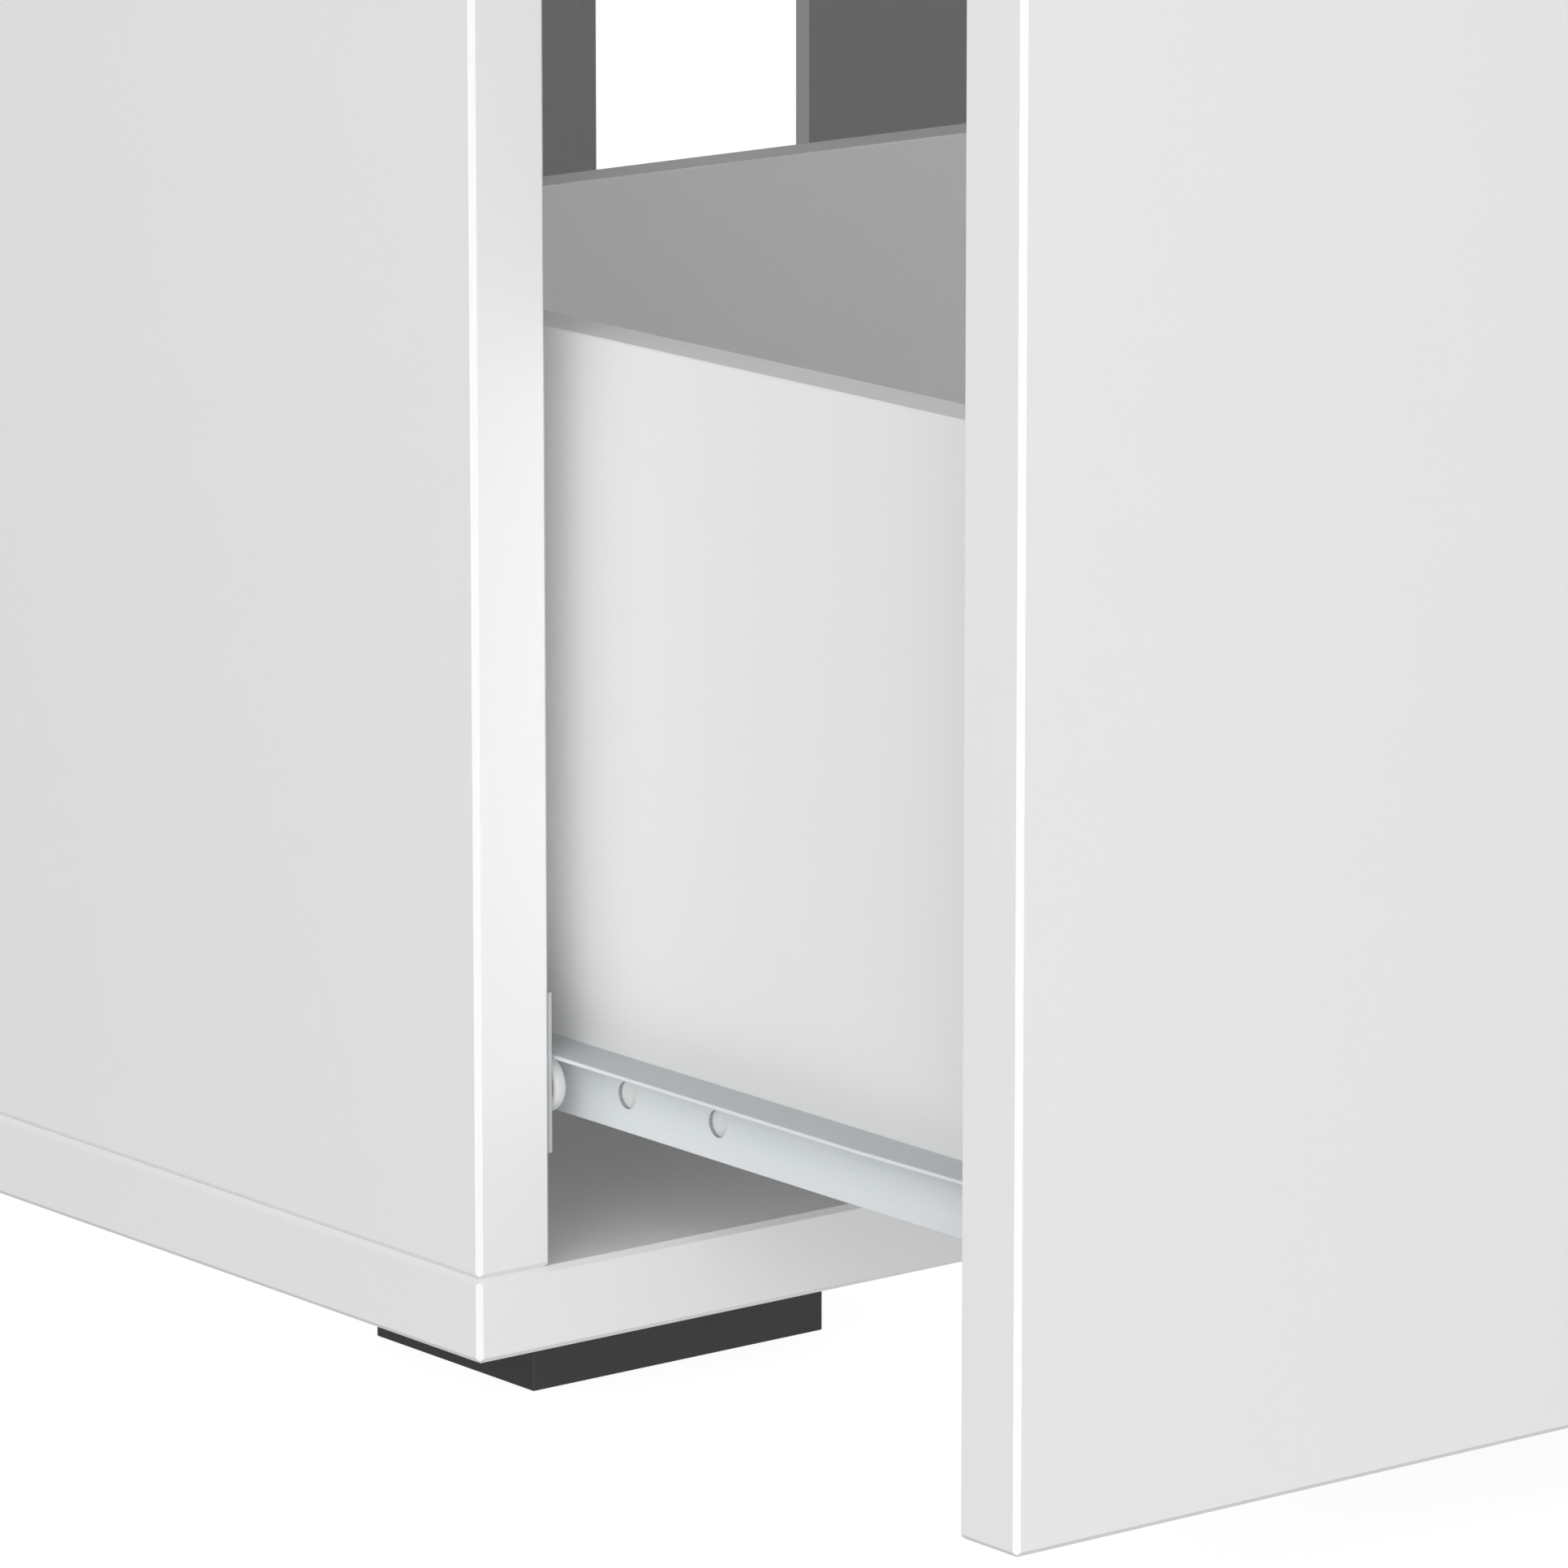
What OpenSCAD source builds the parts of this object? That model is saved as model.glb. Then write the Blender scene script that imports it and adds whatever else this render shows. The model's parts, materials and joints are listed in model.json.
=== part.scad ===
// Under-desk drawer unit: a free-standing carcass on four block feet with one
// deep overlay-front drawer on a pair of bottom-mount roller slides.
// Millimetres. X to the right, Y to the back, Z up. The floor is Z = 0, and
// X = 0 is the middle of the width.
// The drawer is drawn part-open, by drawer_open.

/* [Carcass] */
// Overall width of the carcass and of the drawer front
body_w = 500; // [470:1:620]
// Depth of the carcass, without the drawer front
body_d = 400; // [395:1:480]
// Height of the carcass, without the feet
body_h = 420; // [400:1:560]
// Thickness of the two side panels
side_t = 20; // [19:0.5:22]
// Thickness of the top and bottom panels
board_t = 19; // [18:0.5:22]
// Chamfer on every board edge
chamfer = 1.2; // [0.8:0.1:1.6]
// Thickness of the back panel
back_t = 6; // [4:0.5:8]
// Distance from the rear edges to the back panel's rear face
back_inset = 19; // [14:0.5:19]
// Width of the cable cut-out in the back panel
cut_w = 71; // [50:1:110]
// Height of the cable cut-out
cut_h = 200; // [80:1:240]
// Middle of the cable cut-out, measured to the right of the centre line
cut_x = 106.1; // [-120:0.1:120]
// Middle of the cable cut-out, above the carcass's underside
cut_z = 230; // [200:1:240]

/* [Feet] */
// Length of a foot along X
foot_x = 84; // [60:1:100]
// Length of a foot along Y
foot_y = 60; // [50:1:80]
// Height of a foot
foot_h = 30; // [26:1:40]
// Distance from the carcass's sides and front to a foot
foot_inset = 60; // [20:1:70]
// Distance from the carcass's rear to a rear foot
foot_inset_rear = 45; // [20:1:70]

/* [Drawer] */
// How far the drawer is drawn open
drawer_open = 164.3; // [2:0.1:250]
// Thickness of the drawer front
front_t = 19; // [18:0.5:22]
// How far the drawer front hangs below the carcass's underside
front_drop = 0.8; // [0:0.1:3]
// Thickness of the drawer's sides and back
box_t = 12; // [12:0.5:13]
// Height of the drawer's sides
box_h = 173.5; // [150:0.1:240]
// Length of the drawer box behind its front
box_l = 343; // [330:1:343]
// Thickness of the drawer's bottom
floor_t = 6; // [4:0.5:6]
// Underside of the drawer's sides above the carcass's underside
box_z = 50.7; // [50.7:0.1:52]

/* [Slides] */
// Space between the carcass's side and the drawer's side
slide_gap = 12.7; // [12.7:0.1:12.9]
// Length of the carcass rail
rail_l = 350; // [340:1:352]
// Sheet thickness of the carcass rail
rail_t = 0.9; // [0.8:0.05:1]
// Radius of the rollers
roller_r = 6.5; // [6.4:0.05:6.6]

/* [Handle] */
// Distance between the handle's two screws
handle_cc = 160; // [96:32:192]
// How far the handle stands out from the front
handle_proj = 31.7; // [28:0.1:40]
// Height of the handle's bar
handle_h = 12; // [10:0.5:16]
// Middle of the handle, below the top of the front
handle_drop = 52; // [30:1:90]

/* [Hidden] */
$fn = 48;

// Carcass front plane in Y: the origin is the middle of the whole footprint,
// from the handle's front to the carcass's rear.
y0 = (drawer_open + front_t + handle_proj - body_d) / 2;
xl = -body_w / 2;                 // left outer face
in_w = body_w - 2 * side_t;       // clear width between the side panels
side_h = body_h - 2 * board_t;    // height of a side panel
fy = -drawer_open;                // rear face of the drawer front, from the carcass front plane
box_w = in_w - 2 * slide_gap;     // outer width of the drawer box
bx = side_t + slide_gap;          // drawer side's outer face, from the carcass's outer face
back_y = body_d - back_inset - back_t;
groove = 8;                       // depth of the back panel's grooves
fgroove = 6;                      // depth of the drawer bottom's grooves
floor_z = box_z + 10;             // underside of the drawer's bottom
fit = 0.05;                       // radial clearance round pins and shanks
cam_end = 34;                     // cam centre from the end of a carcass side
cam_r = 7.5;
cam_d = 13;
dcam_end = 24;                    // cam centre from the front end of a drawer side
dcam_r = 6;
dcam_d = 9.5;
cam_ys = [60, 320];               // cam and dowel places along the carcass's depth
dowel_ys = [100, 280];
dcam_zs = [45, 140];              // cam heights above the drawer side's lower edge
ddowel_zs = [22, 92];
dback_zs = [45, 140];             // screws through the drawer sides into the back
rail_z = 44.4;                    // lower edge of the carcass rail
rail_h = 36.1;
rail_y = 0.8;                     // front end of the carcass rail
chan_w = 9.5;                     // width of the carcass rail's channel
chan_y = 20;                      // front end of the channel's flanges
roll_clear = 0.2;                 // running gap under and over the rollers
sheet = 1;                        // sheet thickness of the drawer rail
dr_bottom = box_z - sheet;        // lower face of the drawer rail
dr_top = dr_bottom + 16.85;       // upper face of its flange, at the drawer's side
fl_w = 10.5;                      // width of the flange, from the drawer's side
fl_drop = 0.6;                    // fall of the flange to its outer edge
cr_y = 8;                         // carcass roller's axis, behind the front plane
cr_z = dr_top - fl_drop - sheet - roll_clear - roller_r;
cr_x = 22.3;                      // inner end of the carcass roller, and its width
cr_w = 3.6;
wr_y = fy + box_l - 8;            // drawer roller's axis
wr_z = rail_z + rail_t + roll_clear + roller_r;
wr_x = 22.7;
wr_w = 5;
top_flange = wr_z + roller_r + roll_clear;
axle_r = 2;
rail_screw_ys = [37, 165, 293];
rail_screw_z = 72;
web_hole_z = 58.2;                // centre line of the drawer rail's holes
web_hole_ys = [152.3, 120.3];     // open holes, from the front's rear face
web_screw_ys = [13, 240, 304];    // screwed holes, from the front's rear face
web_slot_ys = [200, 272];         // slots, from the front's rear face
hz = body_h - handle_drop;        // handle's middle above the carcass's underside

// ---------- shared shapes ----------

// Rectangle with chamfered corners
module chamfered(a, b, c) {
  polygon([[c, 0], [a - c, 0], [a, c], [a, b - c], [a - c, b], [c, b], [0, b - c], [0, c]]);
}

// Board with every edge chamfered
module board(s, c = chamfer) {
  intersection() {
    linear_extrude(s.z) chamfered(s.x, s.y, c);
    translate([0, s.y, 0]) rotate([90, 0, 0]) linear_extrude(s.y) chamfered(s.x, s.z, c);
    rotate([90, 0, 90]) linear_extrude(s.x) chamfered(s.y, s.z, c);
  }
}

// Carcass coordinates: the left, front, lower corner of the carcass is the origin
module carcass() { translate([xl, y0, foot_h]) children(); }

// A shape drawn on the left, and its mirror image on the right
module right_of() { mirror([1, 0, 0]) children(); }

// Cylinders along the three axes, from a start point
module along_x(r, l) { rotate([0, 90, 0]) cylinder(r = r, h = l); }
module along_y(r, l) { rotate([-90, 0, 0]) cylinder(r = r, h = l); }

// Rounded rectangle from squares and circles
module rounded(a, b, r) {
  translate([r, 0]) square([a - 2 * r, b]);
  translate([0, r]) square([a, b - 2 * r]);
  for (x = [r, a - r], y = [r, b - r]) translate([x, y]) circle(r);
}

// Wood screw along +Z: the head's top is at 0 and the point is at l.
// The shank has n rings that stand in for its thread.
module wood_screw(r, l, head_r, head_h, n = 7) {
  tip = 1.6 * r;
  s = (l - head_h - tip) / n;
  rotate_extrude()
    polygon(concat(
      [[0, 0], [head_r * 0.92, 0], [head_r, head_h * 0.18], [r, head_h]],
      [for (i = [0:n - 1]) each [[r * 0.72, head_h + s * (i + 0.35)], [r, head_h + s * (i + 1)]]],
      [[0, l]]));
}

// Countersunk hole for such a screw along +Z: its mouth is at 0
module sunk_hole(r, l, head_r, head_h) {
  rotate_extrude()
    polygon([[0, -1], [head_r + fit, -1], [head_r + fit, head_h * 0.18 + 0.06], [r + fit, head_h + 0.12], [r + fit, l], [0, l]]);
}

// Pan-head screw along +Z: the seat is at 0, the head stands below it, and the point is at l
module pan_screw(r, l, head_r, head_h, n = 5) {
  tip = 1.6 * r;
  s = (l - tip) / n;
  difference() {
    rotate_extrude()
      polygon(concat(
        [[0, -head_h], [head_r * 0.7, -head_h], [head_r, -head_h * 0.45], [head_r, 0], [r, 0]],
        [for (i = [0:n - 1]) each [[r * 0.74, s * (i + 0.35)], [r, s * (i + 1)]]],
        [[0, l]]));
    for (a = [0, 90]) rotate([0, 0, a])
      translate([-head_r * 0.5, -0.4, -head_h - 0.1]) cube([head_r, 0.8, head_h * 0.6]);
  }
}

// Cam lock along +Z: its slotted face is at 0. The bolt enters from -Y.
module cam_lock(r, d, bolt_z, bolt_r) {
  difference() {
    cylinder(r = r - fit, h = d - 0.3);
    for (a = [0, 90]) rotate([0, 0, a])
      translate([-r * 0.62, -0.7, -0.1]) cube([r * 1.24, 1.4, 2.1]);
    translate([0, -r - 1, bolt_z]) along_y(bolt_r, 2 * r - 1.2);
  }
}

// Cam bolt along +Z: the threaded end is at -thread and the head ends at l
module cam_bolt(l, thread, thread_r, shank_r, collar_r, head_r) {
  rotate_extrude()
    polygon([
      [0, -thread], [thread_r * 0.6, -thread], [thread_r, -thread + 1.4],
      [thread_r, -thread * 0.72], [thread_r * 0.78, -thread * 0.62], [thread_r, -thread * 0.5],
      [thread_r * 0.78, -thread * 0.38], [thread_r, -thread * 0.26], [thread_r, 0],
      [collar_r, 0], [collar_r, 2.4], [shank_r, 3.4],
      [shank_r, l - 5.2], [head_r * 0.62, l - 4.4], [head_r * 0.62, l - 3],
      [head_r, l - 2.2], [head_r, l - 0.8], [head_r * 0.7, l], [0, l]
    ]);
}

// Wooden dowel along +Z, with chamfered ends and a shallow waist that stands in for its flutes
module dowel(r, l) {
  rotate_extrude()
    polygon([[0, 0], [r - 0.8, 0], [r, 0.8], [r, l * 0.3], [r - 0.15, l * 0.32],
             [r - 0.15, l * 0.68], [r, l * 0.7], [r, l - 0.8], [r - 0.8, l], [0, l]]);
}

// Nylon roller along +X with a crowned tread and dished faces, bored for its axle
module roller(r, w) {
  c = min(1.6, w * 0.36);
  rotate([0, 90, 0])
    difference() {
      rotate_extrude()
        polygon([
          [axle_r + fit, 0], [r - 2.6, 0], [r - 2.2, 0.5], [r - 1.6, 0.5], [r - 1.1, 0.1],
          [r - c * 0.45, c * 0.16], [r - c * 0.14, c * 0.52], [r, c],
          [r, w - c], [r - c * 0.14, w - c * 0.52], [r - c * 0.45, w - c * 0.16], [r - 1.1, w - 0.1],
          [r - 1.6, w - 0.5], [r - 2.2, w - 0.5], [r - 2.6, w], [axle_r + fit, w]
        ]);
    }
}

// ---------- carcass boards ----------

// Holes that a horizontal board needs for the side panels' bolts and dowels, in its inner face
module end_bores(z, up) {
  for (x = [side_t / 2, body_w - side_t / 2]) {
    for (y = cam_ys) translate([x, y, z]) mirror([0, 0, up ? 0 : 1]) cylinder(r = 2.5 + fit, h = 11.5);
    for (y = dowel_ys) translate([x, y, z]) mirror([0, 0, up ? 0 : 1]) cylinder(r = 4 + fit, h = 11.5);
  }
}

// Pilot holes for the feet's screws
module foot_pilots() {
  for (x = [foot_inset + foot_x / 2, body_w - foot_inset - foot_x / 2],
       y = [foot_inset + foot_y / 2, body_d - foot_inset_rear - foot_y / 2],
       s = [-1, 1])
    translate([x + s * 24, y, -1]) cylinder(r = 2 + fit, h = 17);
}

module bottom_panel() {
  color("whitesmoke") carcass() difference() {
    board([body_w, body_d, board_t]);
    translate([side_t - groove, back_y - 0.2, board_t - groove]) cube([in_w + 2 * groove, back_t + 0.4, groove + 1]);
    end_bores(board_t - 11.5, true);
    foot_pilots();
  }
}

module top_panel() {
  color("whitesmoke") carcass() difference() {
    translate([0, 0, body_h - board_t]) board([body_w, body_d, board_t]);
    translate([side_t - groove, back_y - 0.2, body_h - board_t - 1]) cube([in_w + 2 * groove, back_t + 0.4, groove + 1]);
    end_bores(body_h - board_t + 11.5, false);
  }
}

// Side panel in carcass coordinates, on the left
module side_panel() {
  difference() {
    translate([0, 0, board_t]) board([side_t, body_d, side_h]);
    translate([side_t - groove, back_y - 0.2, board_t - 1]) cube([groove + 1, back_t + 0.4, side_h + 2]);
    for (e = [0, 1]) translate([0, 0, e ? body_h : 0]) mirror([0, 0, e]) {
      for (y = cam_ys) {
        translate([side_t - cam_d, y, board_t + cam_end]) along_x(cam_r, cam_d + 1);
        translate([side_t / 2, y, board_t - 1]) cylinder(r = 4, h = cam_end + 2);
      }
      for (y = dowel_ys) translate([side_t / 2, y, board_t - 1]) cylinder(r = 4 + fit, h = 20);
    }
    for (y = rail_screw_ys) translate([side_t - 11.5, y, rail_screw_z]) along_x(2.5 + fit, 12);
    translate([side_t - 3.2, cr_y, cr_z]) along_x(4, 4);
  }
}

module side_panel_left() { color("whitesmoke") carcass() side_panel(); }
module side_panel_right() { right_of() side_panel_left(); }

module back_panel() {
  color("gainsboro") carcass() difference() {
    translate([side_t - groove + 0.5, back_y, board_t - groove + 0.5])
      cube([in_w + 2 * groove - 1, back_t, side_h + 2 * groove - 1]);
    translate([body_w / 2 + cut_x - cut_w / 2, back_y + back_t + 1, cut_z - cut_h / 2])
      rotate([90, 0, 0]) linear_extrude(back_t + 2) rounded(cut_w, cut_h, 10);
  }
}

// ---------- feet ----------

module foot() {
  difference() {
    board([foot_x, foot_y, foot_h], 0.3);
    for (s = [-1, 1]) translate([foot_x / 2 + s * 24, foot_y / 2, 0]) {
      translate([0, 0, -1]) cylinder(r = 5, h = 19);
      translate([0, 0, 18]) sunk_hole(2, foot_h, 4.1, 2.2);
    }
  }
}

module foot_at(right, rear) {
  color("#2b2b2b") translate([xl, y0, 0])
    translate([right ? body_w - foot_inset - foot_x : foot_inset,
               rear ? body_d - foot_inset_rear - foot_y : foot_inset, 0]) foot();
}

module foot_front_left() { foot_at(false, false); }
module foot_front_right() { foot_at(true, false); }
module foot_rear_left() { foot_at(false, true); }
module foot_rear_right() { foot_at(true, true); }

module foot_screws() {
  color("silver") translate([xl, y0, 0])
    for (x = [foot_inset + foot_x / 2, body_w - foot_inset - foot_x / 2],
         y = [foot_inset + foot_y / 2, body_d - foot_inset_rear - foot_y / 2],
         s = [-1, 1])
      translate([x + s * 24, y, 18.02]) wood_screw(2, 26, 4.1, 2.2);
}

// ---------- carcass fittings ----------

module carcass_each_joint() {
  for (m = [0, 1]) mirror([m, 0, 0]) carcass()
    for (e = [0, 1]) translate([0, 0, e ? body_h : 0]) mirror([0, 0, e]) children();
}

module carcass_cam_locks() {
  color("silver") carcass_each_joint()
    for (y = cam_ys) translate([side_t - 0.15, y, board_t + cam_end]) rotate([0, -90, 0]) rotate([0, 0, -90])
      cam_lock(cam_r, cam_d, side_t / 2 - 0.15, 4.1);
}

module carcass_cam_bolts() {
  color("silver") carcass_each_joint()
    for (y = cam_ys) translate([side_t / 2, y, board_t]) cam_bolt(cam_end, 10.5, 2.5, 2.6, 3.9, 3.5);
}

module carcass_dowels() {
  color("burlywood") carcass_each_joint()
    for (y = dowel_ys) translate([side_t / 2, y, board_t - 11]) dowel(4, 29);
}

// ---------- carcass rail ----------

// Left carcass rail in carcass coordinates: a plate with a channel for the drawer's roller
module cabinet_rail() {
  x = side_t;
  difference() {
    union() {
      translate([x, rail_y, rail_z]) cube([rail_t, rail_l, rail_h]);
      // lower flange with its upturned lip, and the upper flange
      translate([x, chan_y, rail_z]) cube([chan_w, rail_l - 24, rail_t]);
      translate([x + chan_w - 1, chan_y, rail_z]) cube([1, rail_l - 24, 3]);
      translate([x, chan_y, top_flange]) cube([chan_w, rail_l - 30, rail_t]);
      // bends between the plate and the flanges
      translate([x + rail_t, chan_y, rail_z + rail_t]) bend_fill(rail_l - 24);
      translate([x + rail_t, chan_y, top_flange + rail_t]) bend_fill(rail_l - 30);
      // rear stop, bent up from the lower flange
      translate([x, chan_y + rail_l - 25.1, rail_z]) cube([chan_w, rail_t, 9]);
    }
    for (y = rail_screw_ys) translate([x - 1, y, rail_screw_z]) along_x(2.5 + fit, 4);
    for (y = [69, 197, 229, 325]) translate([x - 1, y, rail_screw_z]) along_x(3.1, 4);
    for (y = [101, 261]) translate([x - 1, y - 4, rail_screw_z]) {
      along_x(2.3, 4);
      translate([0, 8, 0]) along_x(2.3, 4);
      translate([0, 0, -2.3]) cube([4, 8, 4.6]);
    }
    translate([x - 1, cr_y, cr_z]) along_x(axle_r, 4);
  }
}

// Inner fillet of a bend, along Y
module bend_fill(l) {
  difference() {
    cube([0.8, l, 0.8]);
    translate([0.8, -1, 0.8]) along_y(0.8, l + 2);
  }
}

module cabinet_rail_left() { color("lightsteelblue") carcass() cabinet_rail(); }
module cabinet_rail_right() { right_of() cabinet_rail_left(); }

// Riveted axle of the carcass roller: a washer face against the plate, a journal and a head
module cabinet_axle() {
  translate([side_t - 2.9, cr_y, cr_z]) rotate([0, 90, 0]) rotate_extrude()
    polygon([
      [0, 0], [3.2, 0], [3.6, 0.4], [3.6, 2.9], [axle_r, 2.9], [axle_r, 2.9 + rail_t],
      [3.4, 2.9 + rail_t], [3.4, cr_x - side_t + 2.9 - 0.15], [axle_r, cr_x - side_t + 2.9 - 0.15],
      [axle_r, cr_x - side_t + 2.9 + cr_w + 0.15], [3, cr_x - side_t + 2.9 + cr_w + 0.15],
      [3, cr_x - side_t + 2.9 + cr_w + 0.75], [2.2, cr_x - side_t + 2.9 + cr_w + 1.2],
      [0, cr_x - side_t + 2.9 + cr_w + 1.2]
    ]);
}

module cabinet_roller_axle_left() { color("silver") carcass() cabinet_axle(); }
module cabinet_roller_axle_right() { right_of() cabinet_roller_axle_left(); }

module cabinet_roller_left() { color("white") carcass() translate([cr_x, cr_y, cr_z]) roller(roller_r, cr_w); }
module cabinet_roller_right() { right_of() cabinet_roller_left(); }

module cabinet_rail_screws() {
  color("silver") for (m = [0, 1]) mirror([m, 0, 0]) carcass()
    for (y = rail_screw_ys)
      translate([side_t + rail_t, y, rail_screw_z]) rotate([0, -90, 0]) pan_screw(2.5, 12, 4, 1.5);
}

// ---------- drawer ----------

module drawer_front() {
  color("whitesmoke") carcass() difference() {
    translate([0, fy - front_t, -front_drop]) board([body_w, front_t, body_h + front_drop]);
    // groove for the drawer's bottom
    translate([bx + box_t - fgroove, fy - fgroove, floor_z - 0.1])
      cube([box_w - 2 * box_t + 2 * fgroove, fgroove + 1, floor_t + 0.2]);
    for (x = [bx + box_t / 2, body_w - bx - box_t / 2]) {
      for (z = dcam_zs) translate([x, fy - 11.5, box_z + z]) along_y(2.5 + fit, 12);
      for (z = ddowel_zs) translate([x, fy - 11.5, box_z + z]) along_y(3 + fit, 12);
    }
    for (s = [-1, 1]) translate([body_w / 2 + s * handle_cc / 2, fy - front_t - 1, hz]) along_y(2.2, front_t + 2);
  }
}

// Left drawer side in carcass coordinates
module drawer_side() {
  difference() {
    translate([bx, fy, box_z]) board([box_t, box_l, box_h], 0.4);
    translate([bx + box_t - fgroove, fy - 1, floor_z - 0.1]) cube([fgroove + 1, box_l + 2, floor_t + 0.2]);
    for (z = dcam_zs) {
      translate([bx - 1, fy + dcam_end, box_z + z]) along_x(dcam_r, dcam_d + 1);
      translate([bx + box_t / 2, fy - 1, box_z + z]) along_y(3.5, dcam_end);
    }
    for (z = ddowel_zs) translate([bx + box_t / 2, fy - 1, box_z + z]) along_y(3 + fit, 19.5);
    for (z = dback_zs) translate([bx, fy + box_l - box_t / 2, box_z + z]) {
      rotate([0, 90, 0]) sunk_hole(1.75, box_t + 1, 3.5, 2.1);
    }
    for (z = [92]) translate([bx + box_t - 8, fy + box_l - box_t / 2, box_z + z]) along_x(3 + fit, 9);
    for (y = web_screw_ys) translate([bx - 1, fy + y, web_hole_z]) along_x(1.75 + fit, 9.5);
  }
}

module drawer_side_left() { color("whitesmoke") carcass() drawer_side(); }
module drawer_side_right() { right_of() drawer_side_left(); }

module drawer_back() {
  z = floor_z + floor_t;
  color("whitesmoke") carcass() difference() {
    translate([bx + box_t, fy + box_l - box_t, z])
      board([box_w - 2 * box_t, box_t, box_z + box_h - z], 0.4);
    for (x = [bx + box_t - 1, body_w - bx - box_t - 24])
      for (h = dback_zs) translate([x, fy + box_l - box_t / 2, box_z + h]) along_x(1.75 + fit, 25);
    for (x = [bx + box_t - 1, body_w - bx - box_t - 15])
      translate([x, fy + box_l - box_t / 2, box_z + 92]) along_x(3 + fit, 16);
    for (x = [120, body_w / 2, body_w - 120])
      translate([x, fy + box_l - box_t / 2, z - 1]) cylinder(r = 1.5 + fit, h = 13);
  }
}

module drawer_bottom() {
  color("gainsboro") carcass() difference() {
    translate([bx + box_t - fgroove + 0.3, fy - fgroove + 0.3, floor_z])
      cube([box_w - 2 * box_t + 2 * fgroove - 0.6, box_l + fgroove - 0.6, floor_t]);
    for (x = [120, body_w / 2, body_w - 120]) translate([x, fy + box_l - box_t / 2, floor_z])
      sunk_hole(1.5, floor_t + 1, 2.9, 1.7);
  }
}

// Left drawer rail in carcass coordinates: a web on the drawer's side, a flange that runs on
// the carcass roller, and a foot under the side. The flange falls a little to its outer edge,
// and it narrows at its front end.
module drawer_rail() {
  x = bx - sheet;
  xo = bx - fl_w;
  y1 = box_l - 1;
  translate([0, fy, 0]) difference() {
    union() {
      translate([x, 0.6, dr_bottom]) cube([sheet, y1, dr_top - dr_bottom]);
      translate([x, 0.6, dr_bottom]) cube([box_t + sheet - 0.5, y1, sheet]);
      translate([0, y1 + 0.6, 0]) rotate([90, 0, 0]) linear_extrude(y1)
        polygon([[bx, dr_top], [xo, dr_top - fl_drop], [xo, dr_top - fl_drop - sheet], [bx, dr_top - sheet]]);
      // inner fillet of the bend
      translate([x + 0.01, 0.6, dr_top - sheet]) mirror([1, 0, 0]) mirror([0, 0, 1]) bend_fill(y1);
      // boss that stiffens the axle's seat
      translate([x - 0.6, box_l - 8, wr_z]) along_x(5, 1);
    }
    // taper at the flange's front end, and rounded rear corner
    translate([0, 0, dr_top - 4]) linear_extrude(6) {
      polygon([[xo - 1, -1], [xo + 2, -1], [xo + 1.6, 5], [xo, 62], [xo - 1, 62]]);
      polygon([[xo - 1, y1 + 2], [xo - 1, y1 - 12], [xo, y1 - 12], [xo + 4, y1 + 2]]);
    }
    for (y = web_hole_ys) translate([x - 2, y, web_hole_z]) along_x(3.1, 4);
    for (y = web_screw_ys) translate([x - 2, y, web_hole_z]) along_x(1.75 + fit, 4);
    for (y = web_slot_ys) translate([x - 2, y - 5, web_hole_z]) {
      along_x(2.1, 4);
      translate([0, 10, 0]) along_x(2.1, 4);
      translate([0, 0, -2.1]) cube([4, 10, 4.2]);
    }
    translate([x - 2, box_l - 8, wr_z]) along_x(axle_r, 5);
    // front end of the foot flange, cut back at an angle
    translate([bx + box_t - 1, -1, dr_bottom - 1]) rotate([0, 0, 30]) cube([8, 8, 3]);
  }
}

module drawer_rail_left() { color("lightsteelblue") carcass() drawer_rail(); }
module drawer_rail_right() { right_of() drawer_rail_left(); }

// Riveted axle of the drawer roller, from its head beside the carcass rail to the web
module drawer_axle() {
  h = 0.7;
  a = wr_x - 0.15;
  b = wr_x + wr_w + 0.15;
  w = bx - sheet - 0.6;
  translate([0, wr_y, wr_z]) rotate([0, 90, 0]) rotate_extrude()
    polygon([
      [0, a - h], [2.4, a - h], [3, a - h * 0.4], [3, a], [axle_r, a], [axle_r, b],
      [3.2, b], [3.2, w], [axle_r, w], [axle_r, bx - 0.02], [0, bx - 0.02]
    ]);
}

module drawer_roller_axle_left() { color("silver") carcass() drawer_axle(); }
module drawer_roller_axle_right() { right_of() drawer_roller_axle_left(); }

module drawer_roller_left() { color("white") carcass() translate([wr_x, wr_y, wr_z]) roller(roller_r, wr_w); }
module drawer_roller_right() { right_of() drawer_roller_left(); }

// ---------- drawer fittings ----------

module drawer_rail_screws() {
  color("silver") for (m = [0, 1]) mirror([m, 0, 0]) carcass()
    for (y = web_screw_ys)
      translate([bx - sheet, fy + y, web_hole_z]) rotate([0, 90, 0]) pan_screw(1.75, 9, 3.3, 1.4, 4);
}

module drawer_cam_locks() {
  color("silver") for (m = [0, 1]) mirror([m, 0, 0]) carcass()
    for (z = dcam_zs) translate([bx + 0.15, fy + dcam_end, box_z + z]) rotate([0, 90, 0]) rotate([0, 0, 0])
      cam_lock(dcam_r, dcam_d, box_t / 2 - 0.15, 3.6);
}

module drawer_cam_bolts() {
  color("silver") for (m = [0, 1]) mirror([m, 0, 0]) carcass()
    for (z = dcam_zs) translate([bx + box_t / 2, fy, box_z + z]) rotate([-90, 0, 0])
      cam_bolt(dcam_end, 10.5, 2.5, 2.3, 3.4, 3);
}

module drawer_dowels() {
  color("burlywood") for (m = [0, 1]) mirror([m, 0, 0]) carcass() {
    for (z = ddowel_zs) translate([bx + box_t / 2, fy - 11, box_z + z]) rotate([-90, 0, 0]) dowel(3, 28.5);
    translate([bx + box_t - 7.5, fy + box_l - box_t / 2, box_z + 92]) rotate([0, 90, 0]) dowel(3, 22);
  }
}

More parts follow.
